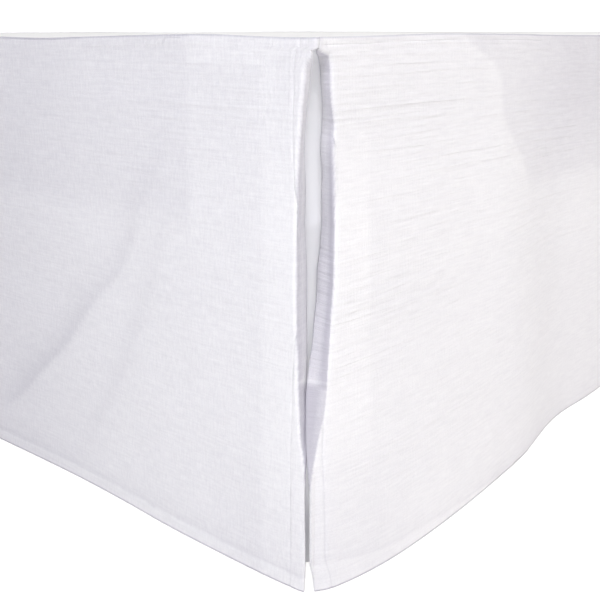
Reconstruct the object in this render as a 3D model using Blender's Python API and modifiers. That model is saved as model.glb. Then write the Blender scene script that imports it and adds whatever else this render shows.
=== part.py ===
"""Bed skirt on a low bed base.

Three flat drop panels hang from a deck of plain cloth that covers the base. The panels are split at the two foot
corners, where an insert hangs behind the split. The head end is open. World axes: +X to the bed's right side,
+Y to the head, +Z up, the floor at 0 and the origin under the middle of the bed.
"""

import math
from collections import namedtuple

import bmesh
import bpy
import numpy as np

# Driving sizes, in metres
BED_WIDTH = 1.524
BED_LENGTH = 2.032
DECK_TOP = 0.3815
PANEL_CLOTH = 0.0015
INSERT_CLOTH = 0.0012
DECK_CLOTH = 0.0012
GAP = 0.0003

# Deck and the base under it
DECK_CORNER = 0.005
BASE_MARGIN = 0.009
BASE_HEIGHT = 0.155
BASE_CORNER = 0.070
BASE_CORNER_STEPS = 7
BASE_EDGE = 0.008
BASE_EDGE_STEPS = 2
LEG_FOOT = 0.020
LEG_HEAD = 0.027
LEG_SIDES = 16
LEG_EDGE = 0.0015
LEG_INSET_X = 0.110
LEG_INSET_Y = 0.120

# Panels: how the drop swells out towards the floor, and how a panel's side hem turns in at a split
FLARE_POWER = 1.2
TURN_RADIUS = 0.0028
SEAM_GROOVE = 0.0004
GROOVE_HEIGHT = 0.3826
GROOVE_WIDTH = 0.0012
CUT_FADE = 0.060
COLUMN_STEP = 0.052
FINE_COLUMNS = (0.0, 0.0035, 0.007, 0.0105, 0.014, 0.0175, 0.022, 0.029, 0.041, 0.060, 0.084)
PANEL_ROWS = (0.0015, 0.032, 0.066, 0.098, 0.130, 0.165, 0.210, 0.255, 0.300, 0.338, 0.360, 0.371, 0.377,
              0.3805, 0.3826, 0.3848)

# Inserts: an insert hangs behind both panels' backs and rounds the base's corner
INSERT_REACH = 0.130
INSERT_BACK = 0.0026
INSERT_COLUMNS = 16
INSERT_ROWS = (0.0030, 0.060, 0.120, 0.180, 0.240, 0.290, 0.325, 0.348, 0.362, 0.371, 0.3768, 0.3794)

Turn = namedtuple("Turn", "height fold cut angle")
Swell = namedtuple("Swell", "along out")
Fold = namedtuple("Fold", "low_height low_along high_height high_along bow width depth")
Round = namedtuple("Round", "height radius")
Panel = namedtuple("Panel", "name corner along outward length near far swell folds")


def table(kind, *rows):
    """One table: a row of the given kind for each section or fold."""
    return tuple(kind(*row) for row in rows)


# A panel's end at a split: height, fold line and cut edge from the corner, and the hem's turn in degrees
SPLIT_FOOT = table(
    Turn,
    # height, fold, cut, angle
    (0.000, 0.0050, 0.0045, 0),
    (0.050, 0.0040, 0.0034, 0),
    (0.085, 0.0045, 0.0036, 20),
    (0.120, 0.0080, 0.0048, 80),
    (0.165, 0.0100, 0.0050, 105),
    (0.215, 0.0124, 0.0060, 112),
    (0.285, 0.0128, 0.0060, 112),
    (0.330, 0.0104, 0.0045, 110),
    (0.358, 0.0084, 0.0030, 105),
    (0.371, 0.0054, 0.0026, 75),
    (0.377, 0.0036, 0.0030, 10),
    (0.3805, 0.0034, 0.0032, 0),
)
SPLIT_SIDE = table(
    Turn,
    # height, fold, cut, angle
    (0.000, 0.0010, 0.0008, 0),
    (0.050, -0.0030, -0.0032, 0),
    (0.085, -0.0010, -0.0030, 25),
    (0.108, 0.0035, -0.0020, 70),
    (0.130, 0.0084, -0.0010, 90),
    (0.165, 0.0130, 0.0000, 100),
    (0.215, 0.0168, 0.0008, 106),
    (0.265, 0.0180, 0.0015, 108),
    (0.330, 0.0184, 0.0022, 106),
    (0.358, 0.0160, 0.0030, 102),
    (0.371, 0.0128, 0.0034, 90),
    (0.377, 0.0080, 0.0036, 60),
    (0.3805, 0.0006, 0.0004, 0),
)
# The other foot corner hangs quieter: its split is narrow
SPLIT_FOOT_FAR = table(
    Turn,
    # height, fold, cut, angle
    (0.000, 0.0035, 0.0030, 0),
    (0.080, 0.0030, 0.0025, 0),
    (0.140, 0.0045, 0.0028, 40),
    (0.230, 0.0085, 0.0030, 90),
    (0.320, 0.0080, 0.0020, 95),
    (0.358, 0.0065, 0.0020, 85),
    (0.370, 0.0032, 0.0028, 10),
    (0.3765, 0.0028, 0.0026, 0),
    (0.3805, 0.0028, 0.0026, 0),
)
SPLIT_SIDE_FAR = table(
    Turn,
    # height, fold, cut, angle
    (0.000, 0.0005, 0.0003, 0),
    (0.080, 0.0002, -0.0002, 0),
    (0.140, 0.0075, 0.0003, 92),
    (0.230, 0.0120, 0.0005, 100),
    (0.320, 0.0115, 0.0010, 100),
    (0.358, 0.0105, 0.0010, 95),
    (0.370, 0.0105, 0.0020, 70),
    (0.3765, 0.0065, 0.0015, 35),
    (0.3805, 0.0006, 0.0004, 0),
)
# The head ends are plain side hems, flush with the deck's open edge
HEAD_END = table(Turn, (0.000, 0.0, 0.0, 0), (0.3805, 0.0, 0.0, 0))

# How far each hem swells out at the floor, along the panel from its near corner
SWELL_FOOT = table(
    Swell,
    # along, out
    (0.000, 0.0035),
    (0.006, 0.0050),
    (0.020, 0.0060),
    (0.086, 0.0070),
    (0.150, 0.0060),
    (0.200, 0.0032),
    (0.260, 0.0012),
    (0.340, 0.0014),
    (0.480, 0.0050),
    (0.620, 0.0075),
    (0.780, 0.0040),
    (0.950, 0.0065),
    (1.120, 0.0110),
    (1.300, 0.0070),
    (1.420, 0.0100),
    (1.500, 0.0080),
    (1.524, 0.0040),
)
SWELL_RIGHT = table(
    Swell,
    # along, out
    (0.000, 0.0005),
    (0.009, 0.0065),
    (0.023, 0.0110),
    (0.040, 0.0148),
    (0.065, 0.0185),
    (0.104, 0.0210),
    (0.160, 0.0215),
    (0.215, 0.0200),
    (0.287, 0.0150),
    (0.347, 0.0075),
    (0.401, 0.0035),
    (0.500, 0.0030),
    (0.650, 0.0080),
    (0.820, 0.0130),
    (1.020, 0.0070),
    (1.250, 0.0040),
    (1.480, 0.0105),
    (1.720, 0.0120),
    (1.920, 0.0060),
    (2.032, 0.0050),
)
SWELL_LEFT = table(
    Swell,
    # along, out
    (0.000, 0.0020),
    (0.030, 0.0070),
    (0.110, 0.0120),
    (0.260, 0.0090),
    (0.430, 0.0040),
    (0.640, 0.0080),
    (0.880, 0.0140),
    (1.130, 0.0090),
    (1.380, 0.0050),
    (1.630, 0.0110),
    (1.860, 0.0080),
    (2.032, 0.0040),
)

# Soft folds: a line from a low point to a high one, its bow sideways, half width and depth (below zero: a valley)
FOLDS_FOOT = table(
    Fold,
    # low height, along, high height, along, bow, width, depth
    (0.045, 0.340, 0.310, 0.125, -0.012, 0.030, -0.0046),
    (0.030, 0.240, 0.235, 0.145, -0.004, 0.022, -0.0032),
    (0.030, 0.290, 0.290, 0.160, -0.008, 0.024, 0.0022),
    (0.000, 0.470, 0.300, 0.395, 0.010, 0.045, -0.0035),
    (0.000, 0.700, 0.350, 0.760, 0.012, 0.050, -0.0042),
    (0.000, 0.905, 0.260, 0.860, -0.010, 0.034, 0.0035),
    (0.000, 1.040, 0.330, 0.980, 0.008, 0.042, -0.0040),
    (0.000, 1.250, 0.300, 1.330, -0.012, 0.046, -0.0042),
    (0.020, 1.400, 0.240, 1.385, 0.004, 0.030, 0.0030),
)
FOLDS_RIGHT = table(
    Fold,
    # low height, along, high height, along, bow, width, depth
    (0.000, 0.405, 0.372, 0.275, 0.030, 0.052, -0.0042),
    (0.020, 0.300, 0.330, 0.205, 0.016, 0.040, 0.0020),
    (0.000, 0.560, 0.330, 0.520, 0.010, 0.048, -0.0040),
    (0.000, 0.760, 0.300, 0.705, -0.010, 0.040, 0.0034),
    (0.000, 0.940, 0.340, 1.000, 0.014, 0.055, -0.0046),
    (0.000, 1.180, 0.280, 1.130, 0.006, 0.042, -0.0030),
    (0.000, 1.370, 0.320, 1.420, -0.012, 0.046, 0.0036),
    (0.000, 1.600, 0.350, 1.560, 0.010, 0.050, -0.0044),
    (0.000, 1.830, 0.300, 1.870, 0.008, 0.044, -0.0036),
)
FOLDS_LEFT = table(
    Fold,
    # low height, along, high height, along, bow, width, depth
    (0.000, 0.210, 0.300, 0.160, -0.010, 0.044, -0.0036),
    (0.000, 0.380, 0.340, 0.450, 0.012, 0.052, -0.0040),
    (0.000, 0.720, 0.320, 0.680, -0.008, 0.048, 0.0034),
    (0.000, 1.020, 0.350, 0.960, 0.010, 0.056, -0.0046),
    (0.000, 1.270, 0.300, 1.330, -0.012, 0.048, -0.0034),
    (0.000, 1.520, 0.330, 1.480, 0.010, 0.050, 0.0038),
    (0.000, 1.760, 0.340, 1.800, 0.012, 0.054, -0.0042),
)

# How an insert rounds the corner: sharp where it is sewn under the deck's corner, wide below it
INSERT_ROUNDS = table(
    Round,
    # height, radius
    (0.0000, 0.073),
    (0.1000, 0.070),
    (0.2000, 0.067),
    (0.2900, 0.064),
    (0.3300, 0.060),
    (0.3500, 0.056),
    (0.3620, 0.052),
    (0.3710, 0.044),
    (0.3768, 0.019),
    (0.3798, 0.016),
)

HALF_WIDTH = BED_WIDTH / 2
HALF_LENGTH = BED_LENGTH / 2
PANELS = (
    Panel("panel_foot", (HALF_WIDTH, -HALF_LENGTH), (-1, 0), (0, -1), BED_WIDTH,
          SPLIT_FOOT, SPLIT_FOOT_FAR, SWELL_FOOT, FOLDS_FOOT),
    Panel("panel_side_right", (HALF_WIDTH, -HALF_LENGTH), (0, 1), (1, 0), BED_LENGTH,
          SPLIT_SIDE, HEAD_END, SWELL_RIGHT, FOLDS_RIGHT),
    Panel("panel_side_left", (-HALF_WIDTH, -HALF_LENGTH), (0, 1), (-1, 0), BED_LENGTH,
          SPLIT_SIDE_FAR, HEAD_END, SWELL_LEFT, FOLDS_LEFT),
)


def through(rows, at, column):
    """Reads one column of a table at the given places, on a smooth curve through its rows."""
    x = np.array([row[0] for row in rows])
    y = np.array([getattr(row, column) for row in rows])
    slope = np.gradient(y, x)
    at = np.clip(at, x[0], x[-1])
    k = np.clip(np.searchsorted(x, at, side="right") - 1, 0, len(x) - 2)
    step = x[k + 1] - x[k]
    t = (at - x[k]) / step
    start = (1 + 2 * t) * (1 - t) ** 2 * y[k] + t * (1 - t) ** 2 * step * slope[k]
    end = t * t * (3 - 2 * t) * y[k + 1] - t * t * (1 - t) * step * slope[k + 1]
    return start + end


def turned_end(turns, flat, height):
    """Distance from the corner and distance inwards of cloth near an end whose hem turns in."""
    fold = through(turns, height, "fold")
    cut = through(turns, height, "cut")
    angle = np.radians(np.clip(through(turns, height, "angle"), 0, None))
    place = flat + cut * np.clip(1 - flat / CUT_FADE, 0, 1)
    start = fold + TURN_RADIUS * 0.7 * np.minimum(angle, math.pi / 2)
    past = np.clip(start - place, 0, None)
    bend = np.minimum(past / TURN_RADIUS, angle)
    rest = past - TURN_RADIUS * bend
    along = np.where(past > 0, start - TURN_RADIUS * np.sin(bend) - rest * np.cos(angle), place)
    inward = TURN_RADIUS * (1 - np.cos(bend)) + rest * np.sin(angle)
    return along, inward


def fold_depth(folds, along, height):
    """Sum of the soft folds at a place on a panel."""
    depth = np.zeros_like(along)
    for fold in folds:
        t = (height - fold.low_height) / (fold.high_height - fold.low_height)
        middle = fold.low_along + (fold.high_along - fold.low_along) * t + 4 * fold.bow * t * (1 - t)
        across = np.exp(-(((along - middle) / fold.width) ** 2))
        fade = np.clip((t + 0.35) / 0.35, 0, 1) * np.clip((1.15 - t) / 0.5, 0, 1)
        depth += fold.depth * across * fade * fade * (3 - 2 * fade)
    return depth


def hang(panel, flat, height):
    """Along and outward places of a panel's outer face."""
    near_along, near_inward = turned_end(panel.near, flat, height)
    far_along, far_inward = turned_end(panel.far, panel.length - flat, height)
    is_near = flat < panel.length / 2
    along = np.where(is_near, near_along, panel.length - far_along)
    inward = np.where(is_near, near_inward, far_inward)
    drop = np.clip(1 - height / DECK_TOP, 0, 1)
    swell = through(panel.swell, along, "out") * drop**FLARE_POWER
    settle = np.clip(drop / 0.06, 0, 1)
    groove = SEAM_GROOVE * np.exp(-(((height - GROOVE_HEIGHT) / GROOVE_WIDTH) ** 2))
    outward = swell + fold_depth(panel.folds, along, height) * settle - inward - groove
    return along, outward


def columns_of(panel):
    """Places of a panel's columns, close together at a split."""
    near = np.array(FINE_COLUMNS)
    far = np.zeros(1) if panel.far is HEAD_END else near
    middle = panel.length - near[-1] - far[-1]
    count = round(middle / COLUMN_STEP)
    plain = near[-1] + middle * np.arange(1, count) / count
    return np.concatenate((near, plain, panel.length - far[::-1]))


def grid_of(name, across, up, place):
    """A grid primitive whose points are moved to where the cloth's outer face hangs."""
    sheet = bmesh.new()
    bmesh.ops.create_grid(sheet, x_segments=across - 1, y_segments=up - 1, size=0.5)
    for point in sheet.verts:
        column = round((point.co.x + 0.5) * (across - 1))
        row = round((point.co.y + 0.5) * (up - 1))
        point.co = place(column, row)
    bmesh.ops.recalc_face_normals(sheet, faces=sheet.faces)
    mesh = bpy.data.meshes.new(name)
    sheet.to_mesh(mesh)
    sheet.free()
    return mesh


def face_towards(mesh, outward):
    """Turns a sheet over if most of it faces away from a direction."""
    facing = sum(face.normal.x * outward[0] + face.normal.y * outward[1] for face in mesh.polygons)
    if facing < 0:
        mesh.flip_normals()


def material_of(name, colour, roughness, metallic=0.0):
    """A plain Principled material."""
    material = bpy.data.materials.new(name)
    material.use_nodes = True
    shader = material.node_tree.nodes["Principled BSDF"]
    shader.inputs["Base Color"].default_value = (*colour, 1.0)
    shader.inputs["Roughness"].default_value = roughness
    shader.inputs["Metallic"].default_value = metallic
    return material


def add_object(collection, mesh, material):
    """Links a mesh as the object of the same name."""
    thing = bpy.data.objects.new(mesh.name, mesh)
    mesh.materials.append(material)
    mesh.shade_smooth()
    mesh.set_sharp_from_angle(angle=math.radians(40))
    collection.objects.link(thing)
    return thing


def thicken(thing, thickness):
    """Gives a sheet its thickness behind its outer face."""
    solidify = thing.modifiers.new("Cloth", "SOLIDIFY")
    solidify.thickness = thickness
    solidify.offset = -1
    solidify.use_even_offset = True


def build_panel(collection, panel, material):
    """One drop panel: a ridge where it is sewn to the deck's edge, hemmed at the sides and the floor."""
    flat, heights = np.meshgrid(columns_of(panel), np.array(PANEL_ROWS))
    along, outward = hang(panel, flat, heights)

    def place(column, row):
        a = along[row, column]
        o = outward[row, column]
        x = panel.corner[0] + panel.along[0] * a + panel.outward[0] * o
        y = panel.corner[1] + panel.along[1] * a + panel.outward[1] * o
        return x, y, heights[row, column]

    mesh = grid_of(panel.name, flat.shape[1], flat.shape[0], place)
    face_towards(mesh, panel.outward)
    thicken(add_object(collection, mesh, material), PANEL_CLOTH)


def build_insert(collection, name, side, material):
    """The cloth behind a split: two wings behind the panels' backs and a round turn between them."""
    flat = np.linspace(-INSERT_REACH, INSERT_REACH, INSERT_COLUMNS)

    def place(column, row):
        height = INSERT_ROWS[row]
        radius = float(through(INSERT_ROUNDS, height, "radius"))
        quarter = radius * math.pi / 4
        turn = max(-quarter, min(quarter, flat[column]))
        wing = flat[column] - turn
        angle = math.pi / 4 + turn / radius
        centre = INSERT_BACK + radius
        back_x = centre - radius * math.sin(angle) + max(-wing, 0)
        back_y = centre - radius * math.cos(angle) + max(wing, 0)
        return side * (HALF_WIDTH - back_x), -HALF_LENGTH + back_y, height

    mesh = grid_of(name, INSERT_COLUMNS, len(INSERT_ROWS), place)
    face_towards(mesh, (side, -1))
    thicken(add_object(collection, mesh, material), INSERT_CLOTH)


def box_mesh(name, width, length, bottom, top, corner, corner_steps):
    """A box standing on a height, its four upright edges rounded."""
    box = bmesh.new()
    bmesh.ops.create_cube(box, size=1.0)
    for point in box.verts:
        point.co.x *= width
        point.co.y *= length
        point.co.z = top if point.co.z > 0 else bottom
    upright = [edge for edge in box.edges if abs(edge.verts[0].co.z - edge.verts[1].co.z) > 1e-6]
    bmesh.ops.bevel(box, geom=upright, offset=corner, segments=corner_steps, profile=0.5, affect="EDGES")
    mesh = bpy.data.meshes.new(name)
    box.to_mesh(mesh)
    box.free()
    return mesh


def build_deck(collection, material):
    """The plain cloth that lies on the base and carries the panels at its edge."""
    margin = PANEL_CLOTH + SEAM_GROOVE + GAP
    width = BED_WIDTH - 2 * margin
    length = BED_LENGTH - 2 * margin
    mesh = box_mesh("deck", width, length, DECK_TOP - DECK_CLOTH, DECK_TOP, DECK_CORNER, 3)
    add_object(collection, mesh, material)


def build_base(collection, material):
    """The low upholstered base."""
    top = DECK_TOP - DECK_CLOTH - GAP
    width = BED_WIDTH - 2 * BASE_MARGIN
    length = BED_LENGTH - 2 * BASE_MARGIN
    mesh = box_mesh("foundation", width, length, top - BASE_HEIGHT, top, BASE_CORNER, BASE_CORNER_STEPS)
    base = add_object(collection, mesh, material)
    bevel = base.modifiers.new("Edges", "BEVEL")
    bevel.width = BASE_EDGE
    bevel.segments = BASE_EDGE_STEPS
    bevel.limit_method = "ANGLE"
    bevel.angle_limit = math.radians(60)


def build_legs(collection, material):
    """Nine tapered legs under the base, three in a row."""
    height = DECK_TOP - DECK_CLOTH - BASE_HEIGHT - 2 * GAP
    reach_x = HALF_WIDTH - LEG_INSET_X
    reach_y = HALF_LENGTH - LEG_INSET_Y
    for row, y in (("foot", -reach_y), ("middle", 0.0), ("head", reach_y)):
        for column, x in (("left", -reach_x), ("centre", 0.0), ("right", reach_x)):
            cone = bmesh.new()
            bmesh.ops.create_cone(cone, cap_ends=True, segments=LEG_SIDES, radius1=LEG_FOOT, radius2=LEG_HEAD,
                                  depth=height)
            for point in cone.verts:
                point.co.z += height / 2
            mesh = bpy.data.meshes.new(f"leg_{row}_{column}")
            cone.to_mesh(mesh)
            cone.free()
            leg = add_object(collection, mesh, material)
            leg.location = (x, y, 0.0)
            bevel = leg.modifiers.new("Edge", "BEVEL")
            bevel.width = LEG_EDGE
            bevel.segments = 1
            bevel.limit_method = "ANGLE"
            bevel.angle_limit = math.radians(60)


def main():
    """Clears the scene and builds every piece."""
    for thing in list(bpy.data.objects):
        bpy.data.objects.remove(thing)
    collection = bpy.data.collections.new("Bed skirt")
    bpy.context.scene.collection.children.link(collection)
    gauze = material_of("Crinkled cotton", (0.86, 0.86, 0.88), 0.9)
    lining = material_of("Plain insert cotton", (0.80, 0.80, 0.83), 0.9)
    deck_cloth = material_of("Deck cloth", (0.74, 0.73, 0.71), 0.9)
    cover = material_of("Base cover", (0.82, 0.82, 0.80), 0.9)
    wood = material_of("Leg wood", (0.30, 0.20, 0.12), 0.5)
    for panel in PANELS:
        build_panel(collection, panel, gauze)
    build_insert(collection, "insert_right", 1, lining)
    build_insert(collection, "insert_left", -1, lining)
    build_deck(collection, deck_cloth)
    build_base(collection, cover)
    build_legs(collection, wood)


main()
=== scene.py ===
"""Tailored bed skirt in crinkled cotton gauze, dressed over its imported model.

The file is laid out as an add-on and run as a script. Three gauze drops hang from a deck of plain cloth,
split at the two foot corners over a smooth insert, and cover a low upholstered base on nine legs. Sizes are
in metres, in the model's own axes: +X is the bed's right side, +Y its open head end and +Z up. The floor is
at 0.
"""

import math
from collections import namedtuple

import bmesh
import bpy
import numpy as np
from bpy.props import FloatProperty, FloatVectorProperty, IntProperty, PointerProperty
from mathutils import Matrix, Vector


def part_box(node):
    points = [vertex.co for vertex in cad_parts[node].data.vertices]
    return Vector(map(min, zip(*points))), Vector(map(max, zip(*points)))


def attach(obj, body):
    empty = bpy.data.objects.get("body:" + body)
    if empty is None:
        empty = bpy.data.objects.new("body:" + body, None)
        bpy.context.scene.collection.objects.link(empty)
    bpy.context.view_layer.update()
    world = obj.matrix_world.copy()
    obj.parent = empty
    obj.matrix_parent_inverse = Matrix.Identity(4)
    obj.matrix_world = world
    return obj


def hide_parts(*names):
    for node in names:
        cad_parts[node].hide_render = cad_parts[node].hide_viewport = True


bl_info = {
    "name": "Tailored Bed Skirt",
    "version": (1, 0, 0),
    "blender": (4, 5, 0),
    "location": "3D View > Sidebar > Bed Skirt",
    "description": "Sews a split-corner bed skirt of crinkled cotton gauze over a low bed base",
    "category": "Add Mesh",
}

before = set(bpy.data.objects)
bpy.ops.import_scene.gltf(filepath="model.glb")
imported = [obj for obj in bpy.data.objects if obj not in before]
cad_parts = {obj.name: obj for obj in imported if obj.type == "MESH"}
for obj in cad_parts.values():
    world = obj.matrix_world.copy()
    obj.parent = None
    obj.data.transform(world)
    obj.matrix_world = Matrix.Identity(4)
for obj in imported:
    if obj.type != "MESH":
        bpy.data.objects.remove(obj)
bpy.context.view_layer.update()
BODY = "root"

# Cloth thicknesses, and how far a drop's face stands outside the deck's edge
DROP_CLOTH = 0.0015
INSERT_CLOTH = 0.0012
DECK_CLOTH = 0.0012
EDGE_MARGIN = 0.0022

DECK_LOW, DECK_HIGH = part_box("deck")
DECK_TOP = DECK_HIGH.z
HALF_WIDTH = DECK_HIGH.x + EDGE_MARGIN
HALF_LENGTH = DECK_HIGH.y + EDGE_MARGIN
BED_WIDTH = 2 * HALF_WIDTH
BED_LENGTH = 2 * HALF_LENGTH

# How a drop hangs: its flare, its turned side hem and the standing ridge of its top seam
FLARE_POWER = 1.2
TURN_RADIUS = 0.0006
TURN_LEAD = 0.7
CUT_FADE = 0.060
SETTLE = 0.06
DROP_FOOT = 0.0015
SEAM_FOOT = 0.3725
SEAM_ROWS = 30
GROOVE_WIDTH = 0.0009
GROOVE_ENDS = (0.001, 0.008)
RIDGE_TOP = 0.3848
RIDGE_ROUND = 0.0012
RIDGE_DROP = 0.0005
WAVE_RISE = (0.362, 0.380)

# Soft folds: how they fade in and out at their ends, as shares of their length. Creases: the step that
# measures a crest's lean, the depth of a full crease, and where its painted shade begins beside the crest.
FOLD_RUN_IN = 0.35
FOLD_END = 1.15
FOLD_RUN_OUT = 0.5
CREST_STEP = 0.002
FULL_CREASE = 0.0036
CREST_SHADE = (-0.003, 0.004)

# Inserts: reach to each side of the corner, place behind the drops' faces, foot and top, grid, waves, and
# where they are left calm
INSERT_REACH = 0.130
INSERT_BACK = 0.0026
INSERT_FOOT = 0.0030
INSERT_TOP = 0.3794
INSERT_COLUMNS = 66
INSERT_ROWS = 150
INSERT_WAVE = 0.0006
INSERT_MIDDLE = (0.03, 0.06)
INSERT_CALM_FOOT = (0.0, 0.02)
INSERT_CALM_TOP = (0.362, 0.374)

# Deck: its grid, the reach of its flat edge, its wrinkles, and how it follows the top seam's waves
DECK_COLUMNS = 90
DECK_ROWS = 118
DECK_EDGE = 0.050
DECK_LIFT = 0.0003
DECK_WRINKLE = 0.0005
DECK_DRIFT = 0.6
DECK_DRIFT_CELL = (0.4, 0.4)
DECK_WRINKLE_CELL = (0.16, 0.35)
DECK_WAVE_SHARE = 0.8
DECK_WAVE_REACH = 0.030

# Cells of uneven cloth: their length and their height, and the length of the seam's
DRIFT_CELL = (0.085, 0.024)
LONG_CRINKLE = (0.038, 0.0052)
SHORT_CRINKLE = (0.017, 0.0034)
CRINKLE_PATCH = (0.12, 0.06)
BUMP_PATCH = (0.11, 0.07)
SMALL_BUMP_PATCH = (0.04, 0.03)
DENT_CELL = (0.060, 0.045)
LEVEL_DENT_CELL = (0.090, 0.013)
INSERT_WAVE_CELL = (0.030, 0.070)
SEAM_CELL = 0.045

# Crinkle: how far the crests drift, how uneven its patches are, the width of a crest and the share of short
# ones
LONG_DRIFT, SHORT_DRIFT = 1.1, 0.7
PATCH_MEAN, PATCH_SPREAD = 0.85, 0.55
CREST_WIDTH = 0.30
SHORT_SHARE = 0.30

# How unevenly the top seam sinks, how unevenly the finish's crinkle is spread, and how calm it is low down
SEAM_MEAN, SEAM_SPREAD = 0.55, 0.45
SMALL_BUMP_SHARE = 0.5
BUMP_MEAN, BUMP_SPREAD, BUMP_MOST = 0.85, 0.40, 1.4
CALM_LEAST = 0.50
CALM_BELOW = (0.06, 0.34)

# What keeps the kinds of unevenness apart: the deck has seeds of its own, the others are added to a seed
DENT_SEED, LEVEL_DENT_SEED, SEAM_SEED = 7, 8, 9
BUMP_SEED, SMALL_BUMP_SEED = 20, 21
INSERT_SEED, COVER_SEED = 61, 71
DECK_DRIFT_SEED, DECK_SEED = 91, 92

# Relief of a drop: how much calmer a hem and a turned part are, the share of level dents, the step of a hem,
# its stitches' groove, the level that the crinkle stands about, and how much is left of it all at the foot
HEM_CALM = 0.65
TURNED_CALM = 0.8
TURNED_FROM = (0.0004, 0.0015)
LEVEL_DENTS = 0.25
HEM_STEP = 0.00012
STITCH_GROOVE_WIDTH = 0.0011
INSERT_GROOVE_WIDTH = 0.0012
CRINKLE_LEVEL = 0.4
FOOT_CALM = 0.5
FOOT_RISE = (0.0, 0.004)

# Size of the lattice of random values, past which they repeat
LATTICE = 256

Turn = namedtuple("Turn", "height fold cut angle")
Swell = namedtuple("Swell", "along out")
Fold = namedtuple("Fold", "low_height low_along high_height high_along bow width depth")
Round = namedtuple("Round", "height radius")
Share = namedtuple("Share", "height share")
Section = namedtuple("Section", "inset height")
Lathe = namedtuple("Lathe", "radius height")
Insert = namedtuple("Insert", "name node side")
Lamp = namedtuple("Lamp", "name place aim size power colour")
Wave = namedtuple("Wave", "along lift")
Hem = namedtuple("Hem", "along height")
Pucker = namedtuple("Pucker", "along strength")
Knot = namedtuple("Knot", "at place depth")
Crease = namedtuple("Crease", "runs side reach rounding knots")
Ripple = namedtuple("Ripple", "along height lean length width depth")
Drop = namedtuple(
    "Drop",
    "name node corner along outward length near far swell folds creases ripples waves hem side_hem puckers "
    "groove column_step row_step look seed")
# A drop's look: crinkle and warp, strengths of painted shade on turned hems, along hems and at the ridge's
# top, the ridge's painted glow, and the patch and soft shades of painted shade
Look = namedtuple(
    "Look",
    "crinkle warp turned_shade low_shade turned_fade hem_line side_line top_line ridge_light patch shades")
Spacing = namedtuple("Spacing", "start end step")
Edge = namedtuple("Edge", "height along")
Patch = namedtuple("Patch", "edge blur foot near tuck tone")
Shade = namedtuple("Shade", "strength flat_from flat_to height_from height_to")
Draped = namedtuple("Draped", "points normals columns rows flat height")


def table(kind, *rows):
    """One table: a row of the given kind for each section or fold."""
    return tuple(kind(*row) for row in rows)


# A drop's end at a split: height, fold line and cut edge from the corner, and the hem's turn in degrees
SPLIT_FOOT = table(
    Turn,
    # height, fold, cut, angle
    (0.000, 0.0040, 0.0038, 0),
    (0.030, 0.0034, 0.0031, 0),
    (0.060, 0.0040, 0.0037, 0),
    (0.085, 0.0050, 0.0042, 15),
    (0.1045, 0.0060, 0.0042, 60),
    (0.118, 0.0090, 0.0040, 75),
    (0.133, 0.0103, 0.0034, 83),
    (0.150, 0.0116, 0.0028, 92),
    (0.183, 0.0128, 0.0014, 100),
    (0.200, 0.0140, 0.0006, 102),
    (0.235, 0.0144, 0.0003, 104),
    (0.268, 0.0146, 0.0010, 111),
    (0.285, 0.0141, 0.0014, 110),
    (0.300, 0.0139, 0.0025, 110),
    (0.317, 0.0133, 0.0041, 114),
    (0.332, 0.0119, 0.0046, 112),
    (0.3475, 0.0107, 0.0042, 105),
    (0.3566, 0.0094, 0.0038, 99),
    (0.3656, 0.0083, 0.0037, 92),
    (0.3704, 0.0065, 0.0032, 80),
    (0.3734, 0.0046, 0.0027, 55),
    (0.3763, 0.0024, 0.0019, 20),
    (0.3784, 0.0018, 0.0016, 10),
    (0.3791, 0.0008, 0.0000, 45),
    (0.3798, -0.0001, -0.0020, 90),
    (0.3805, -0.0001, -0.0020, 90),
)
SPLIT_SIDE = table(
    Turn,
    # height, fold, cut, angle
    (0.000, 0.0010, 0.0008, 0),
    (0.012, -0.0004, -0.0006, 0),
    (0.025, -0.0038, -0.0040, 0),
    (0.045, -0.0044, -0.0046, 0),
    (0.076, -0.0042, -0.0046, 5),
    (0.090, -0.0028, -0.0046, 25),
    (0.1046, 0.0010, -0.0042, 50),
    (0.119, 0.0035, -0.0038, 60),
    (0.133, 0.0063, -0.0034, 62),
    (0.1476, 0.0087, -0.0030, 64),
    (0.165, 0.0106, -0.0024, 75),
    (0.183, 0.0119, -0.0017, 91),
    (0.200, 0.0142, -0.0010, 97),
    (0.217, 0.0163, -0.0001, 103),
    (0.234, 0.0180, 0.0007, 103),
    (0.251, 0.0184, 0.0018, 110),
    (0.267, 0.0192, 0.0028, 113),
    (0.284, 0.0187, 0.0039, 112),
    (0.300, 0.0187, 0.0050, 112),
    (0.316, 0.0179, 0.0057, 106),
    (0.331, 0.0193, 0.0064, 109),
    (0.347, 0.0170, 0.0069, 111),
    (0.356, 0.0162, 0.0072, 105),
    (0.3653, 0.0161, 0.0074, 99),
    (0.3701, 0.0153, 0.0074, 92),
    (0.3731, 0.0143, 0.0068, 88),
    (0.3762, 0.0116, 0.0055, 76),
    (0.3786, 0.0052, 0.0028, 40),
    (0.3797, 0.0027, 0.0027, 0),
    (0.3805, 0.0027, 0.0027, 0),
)
SPLIT_FOOT_FAR = table(
    Turn,
    # height, fold, cut, angle
    (0.000, 0.0035, 0.0030, 0),
    (0.080, 0.0030, 0.0025, 0),
    (0.140, 0.0045, 0.0028, 40),
    (0.230, 0.0085, 0.0030, 90),
    (0.320, 0.0080, 0.0020, 95),
    (0.358, 0.0065, 0.0020, 85),
    (0.370, 0.0032, 0.0028, 10),
    (0.3765, 0.0028, 0.0026, 0),
    (0.3805, 0.0028, 0.0026, 0),
)
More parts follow.
